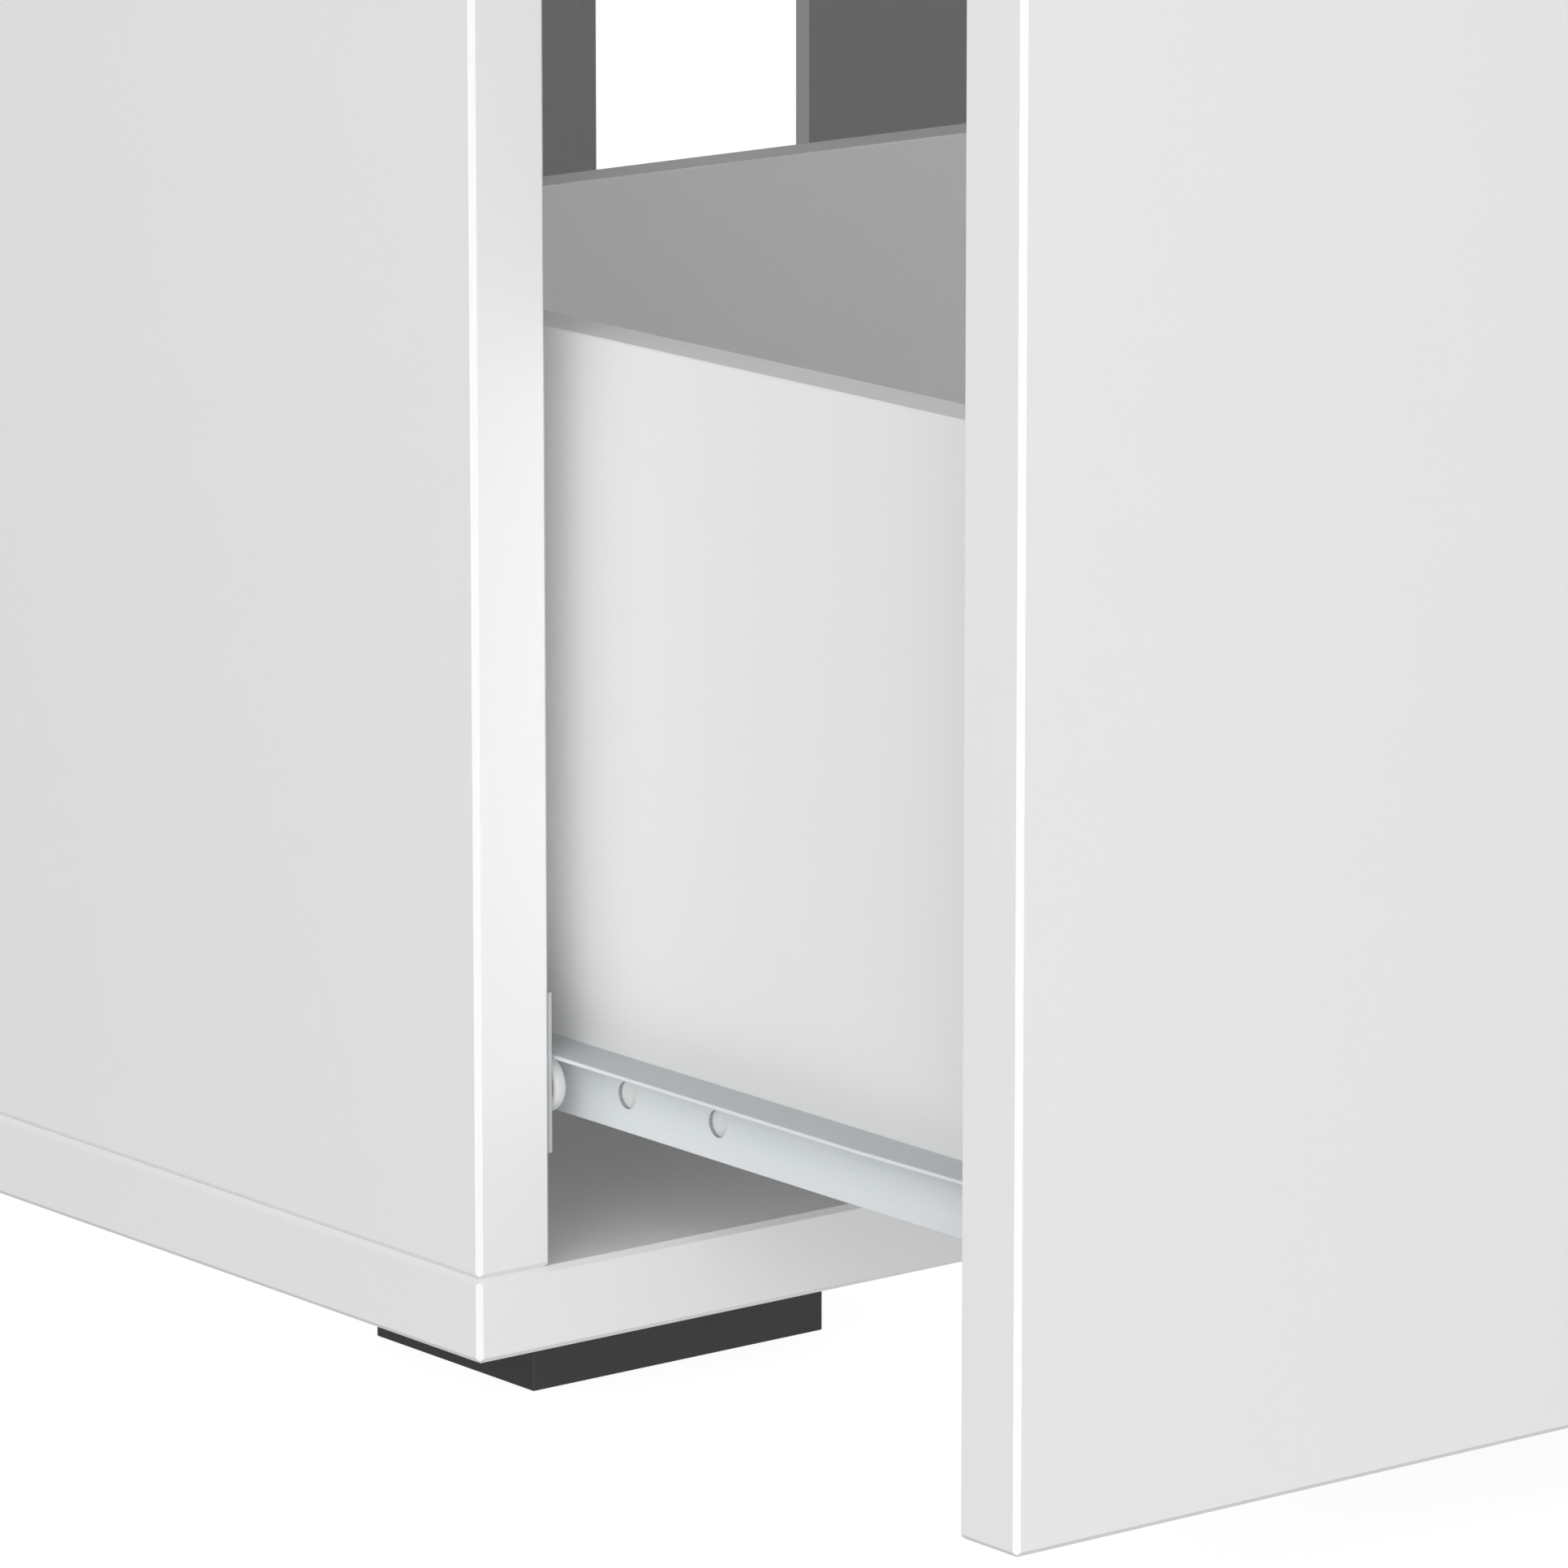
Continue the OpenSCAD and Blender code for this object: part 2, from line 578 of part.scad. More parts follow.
module drawer_back_screws() {
  color("silver") for (m = [0, 1]) mirror([m, 0, 0]) carcass()
    for (z = dback_zs) translate([bx + 0.02, fy + box_l - box_t / 2, box_z + z]) rotate([0, 90, 0])
      wood_screw(1.75, 33, 3.5, 2.1);
}

module drawer_bottom_screws() {
  color("silver") carcass()
    for (x = [120, body_w / 2, body_w - 120])
      translate([x, fy + box_l - box_t / 2, floor_z + 0.02]) wood_screw(1.5, 16, 2.9, 1.7, 5);
}

// Soft buffers on the rear face of the drawer front, over the side panels' front edges
module front_buffers() {
  color("lightgray") carcass()
    for (x = [side_t / 2, body_w - side_t / 2], z = [40, body_h - 40])
      translate([x, fy, z]) rotate([-90, 0, 0]) rotate_extrude()
        polygon([[0, 0], [4, 0], [4, 0.8], [3.4, 1.4], [2.2, 1.7], [0, 1.7]]);
}

// ---------- handle ----------

// Outline of the handle from above: two arms and a bar with rounded corners
module handle_outline() {
  l = handle_cc + 12;
  intersection() {
    difference() {
      translate([-l / 2, -handle_proj]) rounded(l, handle_proj + 20, 9);
      translate([-l / 2 + 12, -handle_proj + 8]) rounded(l - 24, handle_proj + 20, 5);
    }
    translate([-l, -handle_proj - 1]) square([2 * l, handle_proj + 1]);
  }
}

module handle() {
  color("#303030") carcass() difference() {
    translate([body_w / 2, fy - front_t, hz - handle_h / 2]) linear_extrude(handle_h) handle_outline();
    for (s = [-1, 1]) translate([body_w / 2 + s * handle_cc / 2, fy - front_t - 12, hz]) along_y(2 + fit, 13);
  }
}

module handle_screws() {
  color("silver") carcass()
    for (s = [-1, 1]) translate([body_w / 2 + s * handle_cc / 2, fy, hz]) rotate([90, 0, 0])
      pan_screw(2, 29, 4, 1.7, 8);
}

// ---------- output ----------

bottom_panel();
top_panel();
side_panel_left();
side_panel_right();
back_panel();
foot_front_left();
foot_front_right();
foot_rear_left();
foot_rear_right();
foot_screws();
carcass_cam_locks();
carcass_cam_bolts();
carcass_dowels();
cabinet_rail_left();
cabinet_rail_right();
cabinet_roller_left();
cabinet_roller_right();
cabinet_roller_axle_left();
cabinet_roller_axle_right();
cabinet_rail_screws();
drawer_front();
drawer_side_left();
drawer_side_right();
drawer_back();
drawer_bottom();
drawer_rail_left();
drawer_rail_right();
drawer_roller_left();
drawer_roller_right();
drawer_roller_axle_left();
drawer_roller_axle_right();
drawer_rail_screws();
drawer_cam_locks();
drawer_cam_bolts();
drawer_dowels();
drawer_back_screws();
drawer_bottom_screws();
front_buffers();
handle();
handle_screws();
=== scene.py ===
import json
import math
import bpy
import bmesh
from mathutils import Vector, Matrix


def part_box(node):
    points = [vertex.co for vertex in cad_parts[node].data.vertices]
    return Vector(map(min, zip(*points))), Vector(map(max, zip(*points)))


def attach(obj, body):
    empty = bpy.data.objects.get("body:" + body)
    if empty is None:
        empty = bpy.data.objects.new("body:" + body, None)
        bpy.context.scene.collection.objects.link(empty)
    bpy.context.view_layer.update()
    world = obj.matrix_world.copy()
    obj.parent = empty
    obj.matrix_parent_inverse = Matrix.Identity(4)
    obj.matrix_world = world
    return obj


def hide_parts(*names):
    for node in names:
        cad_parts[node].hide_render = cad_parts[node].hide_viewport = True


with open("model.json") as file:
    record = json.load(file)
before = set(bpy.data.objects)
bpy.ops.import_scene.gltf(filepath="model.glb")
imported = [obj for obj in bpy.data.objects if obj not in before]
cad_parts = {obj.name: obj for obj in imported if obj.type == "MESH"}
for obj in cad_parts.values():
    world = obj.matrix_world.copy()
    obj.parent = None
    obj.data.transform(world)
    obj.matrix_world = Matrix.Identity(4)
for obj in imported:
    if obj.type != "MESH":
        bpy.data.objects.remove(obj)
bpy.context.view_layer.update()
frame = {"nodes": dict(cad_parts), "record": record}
scene = bpy.context.scene
nodes = frame["nodes"]
record = frame["record"]
slots = {s["node"]: s["material_slot"] for s in record["subparts"]}
body_of = {n: b for b, ns in record["behaviour"]["bodies"].items() for n in ns}
MM = 0.001

# ---------------------------------------------------------------- camera
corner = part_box("bottom_panel")[0]          # front, left, lower corner of the carcass
cam_data = bpy.data.cameras.new("camera")
cam = bpy.data.objects.new("camera", cam_data)
scene.collection.objects.link(cam)
scene.camera = cam
cam_data.sensor_width = 36.0
cam_data.lens = 36.0 * 12862.26 / 1932.0
cam.location = corner + Vector((-1.31427, -1.76074, 0.61945))
yaw, pitch = math.radians(38.4726), math.radians(12.5641)
look = Vector((math.sin(yaw) * math.cos(pitch), math.cos(yaw) * math.cos(pitch), -math.sin(pitch)))
cam.rotation_mode = "QUATERNION"
cam.rotation_quaternion = look.to_track_quat("-Z", "Y")
cam_data.clip_start, cam_data.clip_end = 0.05, 120.0

scene.view_settings.view_transform = "Standard"
scene.view_settings.look = "None"


# ---------------------------------------------------------------- stage
def area_light(name, azimuth, elevation, distance, size, power, shadow=True):
    a, e = math.radians(azimuth), math.radians(elevation)
    back = Vector((math.sin(a) * math.cos(e), -math.cos(a) * math.cos(e), math.sin(e)))
    data = bpy.data.lights.new(name, "AREA")
    data.shape = "DISK"
    data.size = size
    data.energy = power
    data.use_shadow = shadow
    ob = bpy.data.objects.new(name, data)
    ob.location = Vector((0, 0, 0.25)) + back * distance
    ob.rotation_mode = "QUATERNION"
    ob.rotation_quaternion = (-back).to_track_quat("-Z", "Y")
    ob.visible_camera = False
    scene.collection.objects.link(ob)
    return ob


world = bpy.data.worlds.new("studio")
scene.world = world
world.use_nodes = True
bg = world.node_tree.nodes["Background"]
bg.inputs["Color"].default_value = (1, 1, 1, 1)
bg.inputs["Strength"].default_value = 0.415

area_light("key", -64, 29, 4.5, 3.2, 57)
area_light("low_key", -47, 16, 4.5, 3.2, 25)
area_light("bounce", -35, -35, 4.5, 3.2, 60)
area_light("fill", -30, 28, 4.5, 2.5, 55, shadow=False)
area_light("back", 152, 24, 4.5, 2.5, 10)


def stage_piece(name, bm, base, glow):
    me = bpy.data.meshes.new(name)
    bm.to_mesh(me)
    bm.free()
    ob = bpy.data.objects.new(name, me)
    scene.collection.objects.link(ob)
    m = bpy.data.materials.new(name)
    m.use_nodes = True
    b = m.node_tree.nodes["Principled BSDF"]
    b.inputs["Base Color"].default_value = (base, base, base, 1)
    b.inputs["Roughness"].default_value = 0.9
    b.inputs["Specular IOR Level"].default_value = 0.0
    b.inputs["Emission Color"].default_value = (1, 1, 1, 1)
    b.inputs["Emission Strength"].default_value = glow
    me.materials.append(m)
    return ob


bm = bmesh.new()
bmesh.ops.create_grid(bm, x_segments=2, y_segments=2, size=50)
floor = stage_piece("floor", bm, 0.30, 0.86)
floor.visible_shadow = False
floor.visible_glossy = False
floor.visible_diffuse = False               # the studio light alone lights the object
bm = bmesh.new()
bmesh.ops.create_uvsphere(bm, u_segments=48, v_segments=24, radius=50)
dome = stage_piece("backdrop", bm, 0.0, 1.0)
for flag in ("visible_diffuse", "visible_glossy", "visible_transmission", "visible_volume_scatter", "visible_shadow"):
    setattr(dome, flag, False)


# ---------------------------------------------------------------- materials
class Mat:
    """Small helper that builds a node material in object space, where one unit is a metre."""

    def __init__(self, name, base, rough, metallic=0.0):
        self.m = bpy.data.materials.new(name)
        self.m.use_nodes = True
        self.t = self.m.node_tree
        self.b = self.t.nodes["Principled BSDF"]
        self.b.inputs["Metallic"].default_value = metallic
        self.coord = self.t.nodes.new("ShaderNodeTexCoord").outputs["Object"]
        self.base = tuple(base)
        self.col = None
        self.rough = rough
        self.normal = None

    def link(self, a, b):
        self.t.links.new(a, b)

    def scaled(self, scale):
        n = self.t.nodes.new("ShaderNodeMapping")
        n.inputs["Scale"].default_value = scale
        self.link(self.coord, n.inputs["Vector"])
        return n.outputs["Vector"]

    def noise(self, scale, detail=2.0, rough=0.5, vector=None, distortion=0.0):
        n = self.t.nodes.new("ShaderNodeTexNoise")
        n.inputs["Scale"].default_value = scale
        n.inputs["Detail"].default_value = detail
        n.inputs["Roughness"].default_value = rough
        n.inputs["Distortion"].default_value = distortion
        self.link(vector or self.coord, n.inputs["Vector"])
        return n.outputs["Fac"]

    def voronoi(self, scale, feature="F1", out="Distance", vector=None, rand=1.0):
        n = self.t.nodes.new("ShaderNodeTexVoronoi")
        n.feature = feature
        n.inputs["Scale"].default_value = scale
        n.inputs["Randomness"].default_value = rand
        self.link(vector or self.coord, n.inputs["Vector"])
        return n.outputs[out]

    def ramp(self, fac, stops):
        n = self.t.nodes.new("ShaderNodeValToRGB")
        e = n.color_ramp.elements
        while len(e) < len(stops):
            e.new(0.5)
        for i, (p, c) in enumerate(stops):
            e[i].position = p
            e[i].color = (*c, 1) if len(c) == 3 else c
        self.link(fac, n.inputs["Fac"])
        return n.outputs["Color"]

    def math(self, op, a, b=None, clamp=False):
        n = self.t.nodes.new("ShaderNodeMath")
        n.operation = op
        n.use_clamp = clamp
        for i, v in enumerate((a, b)):
            if v is None:
                continue
            if isinstance(v, (int, float)):
                n.inputs[i].default_value = v
            else:
                self.link(v, n.inputs[i])
        return n.outputs[0]

    def mix(self, fac, a, b, blend="MIX"):
        n = self.t.nodes.new("ShaderNodeMix")
        n.data_type = "RGBA"
        n.blend_type = blend
        n.clamp_factor = True
        for key, v in ((0, fac), (6, a), (7, b)):
            if isinstance(v, (int, float)):
                n.inputs[key].default_value = v
            elif isinstance(v, tuple):
                n.inputs[key].default_value = (*v, 1)
            else:
                self.link(v, n.inputs[key])
        return n.outputs[2]

    def edge(self):
        """1 on the rounded edge faces that soften() marks"""
        n = self.t.nodes.new("ShaderNodeAttribute")
        n.attribute_name = "edge"
        return n.outputs["Fac"]

    def bump(self, height, distance, strength=1.0):
        n = self.t.nodes.new("ShaderNodeBump")
        n.inputs["Strength"].default_value = strength
        n.inputs["Distance"].default_value = distance
        self.link(height, n.inputs["Height"])
        if self.normal is not None:
            self.link(self.normal, n.inputs["Normal"])
        self.normal = n.outputs["Normal"]

    def vary(self, fac, amount, tint=(1, 1, 1)):
        """Colour moves by +-amount with fac"""
        lo = tuple(c * (1 - amount) for c in self.base)
        hi = tuple(min(1.0, c * (1 + amount) * k) for c, k in zip(self.base, tint))
        a = self.ramp(fac, [(0.25, lo), (0.75, hi)])
        self.col = a if self.col is None else self.mix(0.5, self.col, a)

    def done(self, rough_fac=None, rough_amp=0.0):
        if self.col is None:
            self.b.inputs["Base Color"].default_value = (*self.base, 1)
        else:
            self.link(self.col, self.b.inputs["Base Color"])
        if rough_fac is None:
            self.b.inputs["Roughness"].default_value = self.rough
        else:
            r = self.math("MULTIPLY", self.math("SUBTRACT", rough_fac, 0.5), 2 * rough_amp)
            self.link(self.math("ADD", r, self.rough, clamp=True), self.b.inputs["Roughness"])
        if self.normal is not None:
            self.link(self.normal, self.b.inputs["Normal"])
        return self.m


def white_melamine(name, base, rough, peel=1.0):
    """Satin melamine: very fine pearl texture, long soft waviness of the pressed sheet, scuffed edges"""
    m = Mat(name, base, rough)
    big = m.noise(5.0, 2.0)
    pearl = m.noise(1500.0, 3.0, 0.55)
    soft = m.noise(260.0, 2.0, 0.5)
    m.vary(big, 0.006)
    m.vary(pearl, 0.012)
    m.vary(m.noise(60.0, 3.0, 0.6), 0.006)
    # scuffs that only touch the arrises
    worn = m.math("MULTIPLY", m.edge(), m.ramp(m.noise(140.0, 4.0, 0.7), [(0.52, (0, 0, 0)), (0.72, (1, 1, 1))]))
    m.col = m.mix(m.math("MULTIPLY", worn, 0.35), m.col, tuple(c * 0.86 for c in base))
    m.bump(pearl, 0.00002, 0.30 * peel)
    m.bump(soft, 0.00006, 0.06 * peel)
    r = m.math("ADD", m.math("MULTIPLY", pearl, 0.5), m.math("MULTIPLY", m.noise(22.0, 3.0, 0.6), 0.5))
    return m.done(r, 0.10)


def particle_core(name):
    """Raw chipboard, seen only inside bores and grooves"""
    m = Mat(name, (0.46, 0.33, 0.20), 0.85)
    chips = m.voronoi(620.0, out="Color")
    tone = m.voronoi(330.0, out="Color")
    bw = m.t.nodes.new("ShaderNodeRGBToBW")
    m.link(chips, bw.inputs[0])
    bw2 = m.t.nodes.new("ShaderNodeRGBToBW")
    m.link(tone, bw2.inputs[0])
    m.col = m.ramp(bw.outputs[0], [(0.15, (0.27, 0.17, 0.09)), (0.5, (0.47, 0.34, 0.20)), (0.85, (0.66, 0.51, 0.33))])
    m.col = m.mix(0.35, m.col, m.ramp(bw2.outputs[0], [(0.2, (0.36, 0.24, 0.14)), (0.8, (0.60, 0.46, 0.29))]))
    m.bump(m.voronoi(620.0), 0.0002, 0.5)
    m.bump(m.noise(1800.0, 3.0), 0.00005, 0.5)
    return m.done(bw.outputs[0], 0.08)


def coated_steel(name, base, rough):
    """Cold-rolled strip under a thin electrophoretic coat: faint rolling lines along Y and a soft orange peel"""
    m = Mat(name, base, rough)
    roll = m.noise(1.0, 4.0, 0.6, vector=m.scaled((2400, 35, 2400)))
    peel = m.noise(900.0, 2.0)
    m.vary(m.noise(14.0, 2.0), 0.020, (0.995, 1.0, 1.005))
    m.vary(roll, 0.030)
    specks = m.ramp(m.voronoi(420.0), [(0.02, (1, 1, 1)), (0.06, (0, 0, 0))])
    m.col = m.mix(m.math("MULTIPLY", specks, 0.12), m.col, tuple(c * 0.8 for c in base))
    worn = m.math("MULTIPLY", m.edge(), m.ramp(m.noise(300.0, 4.0, 0.7), [(0.48, (0, 0, 0)), (0.70, (1, 1, 1))]))
    m.col = m.mix(m.math("MULTIPLY", worn, 0.45), m.col, tuple(min(1, c * 1.14) for c in base))
    # painted shade: faces that turn up are darkened by their world-space normal, standing in for the shade on the flat
    # top of the strip
    geo = m.t.nodes.new("ShaderNodeNewGeometry")
    sep = m.t.nodes.new("ShaderNodeSeparateXYZ")
    m.link(geo.outputs["Normal"], sep.inputs[0])
    top = m.ramp(sep.outputs["Z"], [(0.45, (0, 0, 0)), (0.97, (1, 1, 1))])
    m.col = m.mix(top, m.col, tuple(c * 0.60 for c in base))
    m.bump(roll, 0.00002, 0.20)
    m.bump(peel, 0.00003, 0.16)
    m.b.inputs["Specular IOR Level"].default_value = 0.30
    return m.done(roll, 0.08)


def bare_edge_shade(name):
    """Bare punched edge of the strip inside its holes, kept dark as painted shade on the hole walls"""
    m = Mat(name, (0.33, 0.34, 0.345), 0.5, 0.4)
    m.vary(m.noise(900.0, 3.0), 0.2)
    m.bump(m.noise(1.0, 3.0, 0.6, vector=m.scaled((200, 3000, 3000))), 0.00003, 0.5)
    return m.done(m.noise(700.0, 3.0), 0.1)


def nylon(name):
    m = Mat(name, (0.66, 0.66, 0.655), 0.38)
    m.vary(m.noise(180.0, 3.0), 0.012)
    m.vary(m.noise(1400.0, 2.0), 0.010)
    grime = m.ramp(m.noise(420.0, 5.0, 0.7), [(0.55, (0, 0, 0)), (0.75, (1, 1, 1))])
    m.col = m.mix(m.math("MULTIPLY", grime, 0.06), m.col, (0.55, 0.54, 0.52))
    m.bump(m.noise(1100.0, 2.0), 0.00002, 0.25)
    m.b.inputs["Subsurface Weight"].default_value = 0.15
    m.b.inputs["Subsurface Radius"].default_value = (1.0, 0.95, 0.9)
    m.b.inputs["Subsurface Scale"].default_value = 0.0012
    return m.done(m.noise(500.0, 3.0), 0.10)


def moulded_black(name):
    """Spark-eroded ABS texture"""
    m = Mat(name, (0.053, 0.053, 0.054), 0.72)
    m.vary(m.noise(40.0, 3.0), 0.05)
    m.vary(m.noise(1500.0, 3.0), 0.10)
    worn = m.math("MULTIPLY", m.edge(), m.ramp(m.noise(220.0, 4.0, 0.7), [(0.45, (0, 0, 0)), (0.72, (1, 1, 1))]))
    m.col = m.mix(m.math("MULTIPLY", worn, 0.25), m.col, (0.08, 0.08, 0.08))
    m.bump(m.noise(1700.0, 4.0, 0.6), 0.00006, 0.55)
    m.bump(m.voronoi(900.0), 0.00003, 0.25)
    m.b.inputs["Specular IOR Level"].default_value = 0.18
    return m.done(m.noise(1500.0, 3.0), 0.12)


def cast_zinc(name):
    m = Mat(name, (0.60, 0.61, 0.63), 0.42, 1.0)
    m.vary(m.noise(300.0, 4.0, 0.6), 0.10)
    m.vary(m.noise(1600.0, 3.0), 0.06)
    m.bump(m.noise(800.0, 4.0, 0.65), 0.00005, 0.45)
    m.bump(m.voronoi(1300.0), 0.00002, 0.3)
    return m.done(m.noise(700.0, 4.0), 0.14)


def plated_steel(name, base=(0.66, 0.66, 0.64), rough=0.28):
    m = Mat(name, base, rough, 1.0)
    m.vary(m.noise(500.0, 4.0, 0.6), 0.07, (1.0, 0.995, 0.97))
    m.vary(m.noise(2600.0, 2.0), 0.05)
    m.bump(m.noise(2200.0, 3.0), 0.00001, 0.35)
    return m.done(m.noise(900.0, 4.0, 0.7), 0.12)


def beech(name):
    m = Mat(name, (0.60, 0.42, 0.25), 0.68)
    fibre = m.noise(1.0, 5.0, 0.65, vector=m.scaled((900, 900, 900)), distortion=0.6)
    ray = m.noise(1.0, 3.0, 0.5, vector=m.scaled((260, 260, 260)), distortion=1.4)
    m.col = m.ramp(fibre, [(0.3, (0.44, 0.28, 0.15)), (0.55, (0.60, 0.42, 0.25)), (0.8, (0.70, 0.53, 0.34))])
    m.col = m.mix(0.3, m.col, m.ramp(ray, [(0.3, (0.50, 0.33, 0.19)), (0.7, (0.68, 0.50, 0.31))]))
    m.bump(fibre, 0.00008, 0.5)
    return m.done(fibre, 0.10)


def silicone(name):
    m = Mat(name, (0.72, 0.73, 0.73), 0.34)
    m.vary(m.noise(300.0, 2.0), 0.02)
    m.bump(m.noise(900.0, 2.0), 0.00002, 0.25)
    m.b.inputs["Subsurface Weight"].default_value = 0.3
    m.b.inputs["Subsurface Scale"].default_value = 0.002
    return m.done(m.noise(600.0, 3.0), 0.08)


def powder_black(name):
    m = Mat(name, (0.030, 0.030, 0.031), 0.46)
    m.vary(m.noise(25.0, 2.0), 0.06)
    m.vary(m.noise(1300.0, 2.0), 0.12)
    worn = m.math("MULTIPLY", m.edge(), m.ramp(m.noise(260.0, 4.0, 0.7), [(0.50, (0, 0, 0)), (0.74, (1, 1, 1))]))
    m.col = m.mix(m.math("MULTIPLY", worn, 0.4), m.col, (0.085, 0.085, 0.085))
    m.bump(m.noise(750.0, 2.0), 0.00006, 0.40)
    m.bump(m.noise(2400.0, 2.0), 0.00002, 0.30)
    return m.done(m.noise(750.0, 2.0), 0.08)


mats = {
    "white_board": white_melamine("white_board", (0.80, 0.80, 0.80), 0.44),
    "white_drawer_board": white_melamine("white_drawer_board", (0.80, 0.80, 0.80), 0.48, 1.3),
    # painted shade: the thin board's white melamine is given a grey tone so its inner face carries the shade of the
    # cabinet's interior
    "white_thin_board": white_melamine("white_thin_board", (0.37, 0.37, 0.37), 0.55, 1.6),
    "foot_plastic": moulded_black("foot_plastic"),
    "rail_steel": coated_steel("rail_steel", (0.72, 0.755, 0.775), 0.40),
    "axle_steel": plated_steel("axle_steel", (0.62, 0.62, 0.63), 0.26),
    "roller_nylon": nylon("roller_nylon"),
    "dowel_wood": beech("dowel_wood"),
    "cam_zinc": cast_zinc("cam_zinc"),
    "screw_steel": plated_steel("screw_steel"),
    "buffer_rubber": silicone("buffer_rubber"),
    "handle_metal": powder_black("handle_metal"),
}
core_mat = particle_core("board_core")
band_mat = white_melamine("cut_out_band", (0.62, 0.62, 0.62), 0.5)
# painted shade: hole walls get a dark bare-steel material standing in for the shade inside the holes
punched_shade_mat = bare_edge_shade("punched_edge_shaded")
# painted shade: a darker copy of the rail steel for the cabinet rail's plate, standing in for the shade it sits in
# beside the side panel
plate_shade_mat = coated_steel("rail_steel_plate_shaded", (0.46, 0.47, 0.475), 0.42)

for name, ob in nodes.items():
    for i in range(len(ob.material_slots)):
        ob.material_slots[i].material = mats[slots[name]]


# ---------------------------------------------------------------- mesh helpers
def finish_piece(name, me, node, smooth_angle=32.0, weighted=True, extra=()):
    """Turns a mesh into the visible piece that stands for a CAD node."""
    ob = bpy.data.objects.new(name, me)
    scene.collection.objects.link(ob)
    if not me.materials:
        me.materials.append(mats[slots[node]])
        for m in extra:
            me.materials.append(m)
    me.polygons.foreach_set("use_smooth", [True] * len(me.polygons))
    me.set_sharp_from_angle(angle=math.radians(smooth_angle))
    if weighted:
        w = ob.modifiers.new("flat_faces", "WEIGHTED_NORMAL")
        w.keep_sharp = True
        w.weight = 80
    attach(ob, body_of[node])
    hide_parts(node)
    return ob


def to_mesh(bm, name):
    bmesh.ops.recalc_face_normals(bm, faces=bm.faces)
    me = bpy.data.meshes.new(name)
    bm.to_mesh(me)
    bm.free()
    return me


def mark_edges(bm, before, value=1.0):
    layer = bm.faces.layers.float.get("edge") or bm.faces.layers.float.new("edge")
    for f in bm.faces:
        if f not in before:
            f[layer] = value


def cad_bm(node):
    """The CAD node's mesh with its seams welded and its flat faces whole."""
    bm = bmesh.new()
    bm.from_mesh(nodes[node].data)
    bmesh.ops.remove_doubles(bm, verts=bm.verts, dist=2e-6)
    bmesh.ops.dissolve_degenerate(bm, dist=1e-7, edges=bm.edges)
    bmesh.ops.dissolve_limit(bm, angle_limit=math.radians(0.4), verts=bm.verts, edges=bm.edges)
    return bm


def soften(node, width, segments=2, angle=25.0, core=False, name=None, inner=None):
    """Rounds the arrises of a CAD shape. With core, faces inside bores and grooves show raw board."""
    bm = cad_bm(node)
    layer = bm.faces.layers.float.new("edge")
    sharp = [e for e in bm.edges if len(e.link_faces) == 2 and e.calc_face_angle(0.0) > math.radians(angle)]
    out = bmesh.ops.bevel(bm, geom=sharp, offset=width * MM, offset_type="OFFSET", segments=segments,
                          profile=0.5, affect="EDGES", clamp_overlap=True)
    for f in out["faces"]:
        f[layer] = 1.0
    if core:
        lo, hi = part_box(node)
        for f in bm.faces:
            c = f.calc_center_median()
            best = min(((c[i] - lo[i], i, -1.0) for i in range(3)), key=lambda t: t[0])
            other = min(((hi[i] - c[i], i, 1.0) for i in range(3)), key=lambda t: t[0])
            d, i, s = min(best, other, key=lambda t: t[0])
            if d > 1.6 * MM or (d > 0.4 * MM and f.normal[i] * s < 0.3):
                f.material_index = 1
    me = to_mesh(bm, (name or node) + "_finish")
    return finish_piece((name or node) + "_finish", me, node, extra=[inner or core_mat] if core else [])


def lathe(rings, seg, pitch=1.0):
    """rings: (radius, z, thread height). A radius of 0 closes an end."""
    bm = bmesh.new()
    rows = []
    for r, z, amp in rings:
        if r <= 0:
            rows.append([bm.verts.new((0, 0, z))])
            continue
        row = []
        for k in range(seg):
            t = 2 * math.pi * k / seg
            f = (z / pitch - k / seg) % 1.0
            ridge = max(0.0, 1.0 - abs(f - 0.5) * 3.2)
            rr = r + amp * ridge
            row.append(bm.verts.new((rr * math.cos(t), rr * math.sin(t), z)))
        rows.append(row)
    for a, b in zip(rows, rows[1:]):
        for k in range(seg):
            j = (k + 1) % seg
            if len(a) == 1 and len(b) == 1:
                continue
            if len(a) == 1:
                bm.faces.new((a[0], b[k], b[j]))
            elif len(b) == 1:
                bm.faces.new((a[k], b[0], a[j]))
            else:
                bm.faces.new((a[k], b[k], b[j], a[j]))
    return bm


def smooth_profile(pts, r, n=3):
    """Rounds the corners of an open (radius, z) profile by up to r."""
    out = [pts[0]]
    for p, q, s in zip(pts, pts[1:], pts[2:]):
        a, b, c = Vector(p), Vector(q), Vector(s)
        la, lc = (a - b).length, (c - b).length
        if la < 1e-9 or lc < 1e-9:
            continue
        d = min(r, la * 0.45, lc * 0.45)
        p0, p1 = b + (a - b) / la * d, b + (c - b) / lc * d
        for k in range(n + 1):
            t = k / n
            v = p0 * (1 - t) ** 2 + b * 2 * t * (1 - t) + p1 * t ** 2
            out.append((v.x, v.y))
    out.append(pts[-1])
    return out


def carve(me, cutter):
    """Exact difference of two closed meshes"""
    a = bpy.data.objects.new("tmp_a", me)
    b = bpy.data.objects.new("tmp_b", cutter)
    scene.collection.objects.link(a)
    scene.collection.objects.link(b)
    m = a.modifiers.new("cut", "BOOLEAN")
    m.operation = "DIFFERENCE"
    m.solver = "EXACT"
    m.object = b
    dg = bpy.context.evaluated_depsgraph_get()
    dg.update()
    out = bpy.data.meshes.new_from_object(a.evaluated_get(dg))
    bpy.data.objects.remove(a)
    bpy.data.objects.remove(b)
    return out


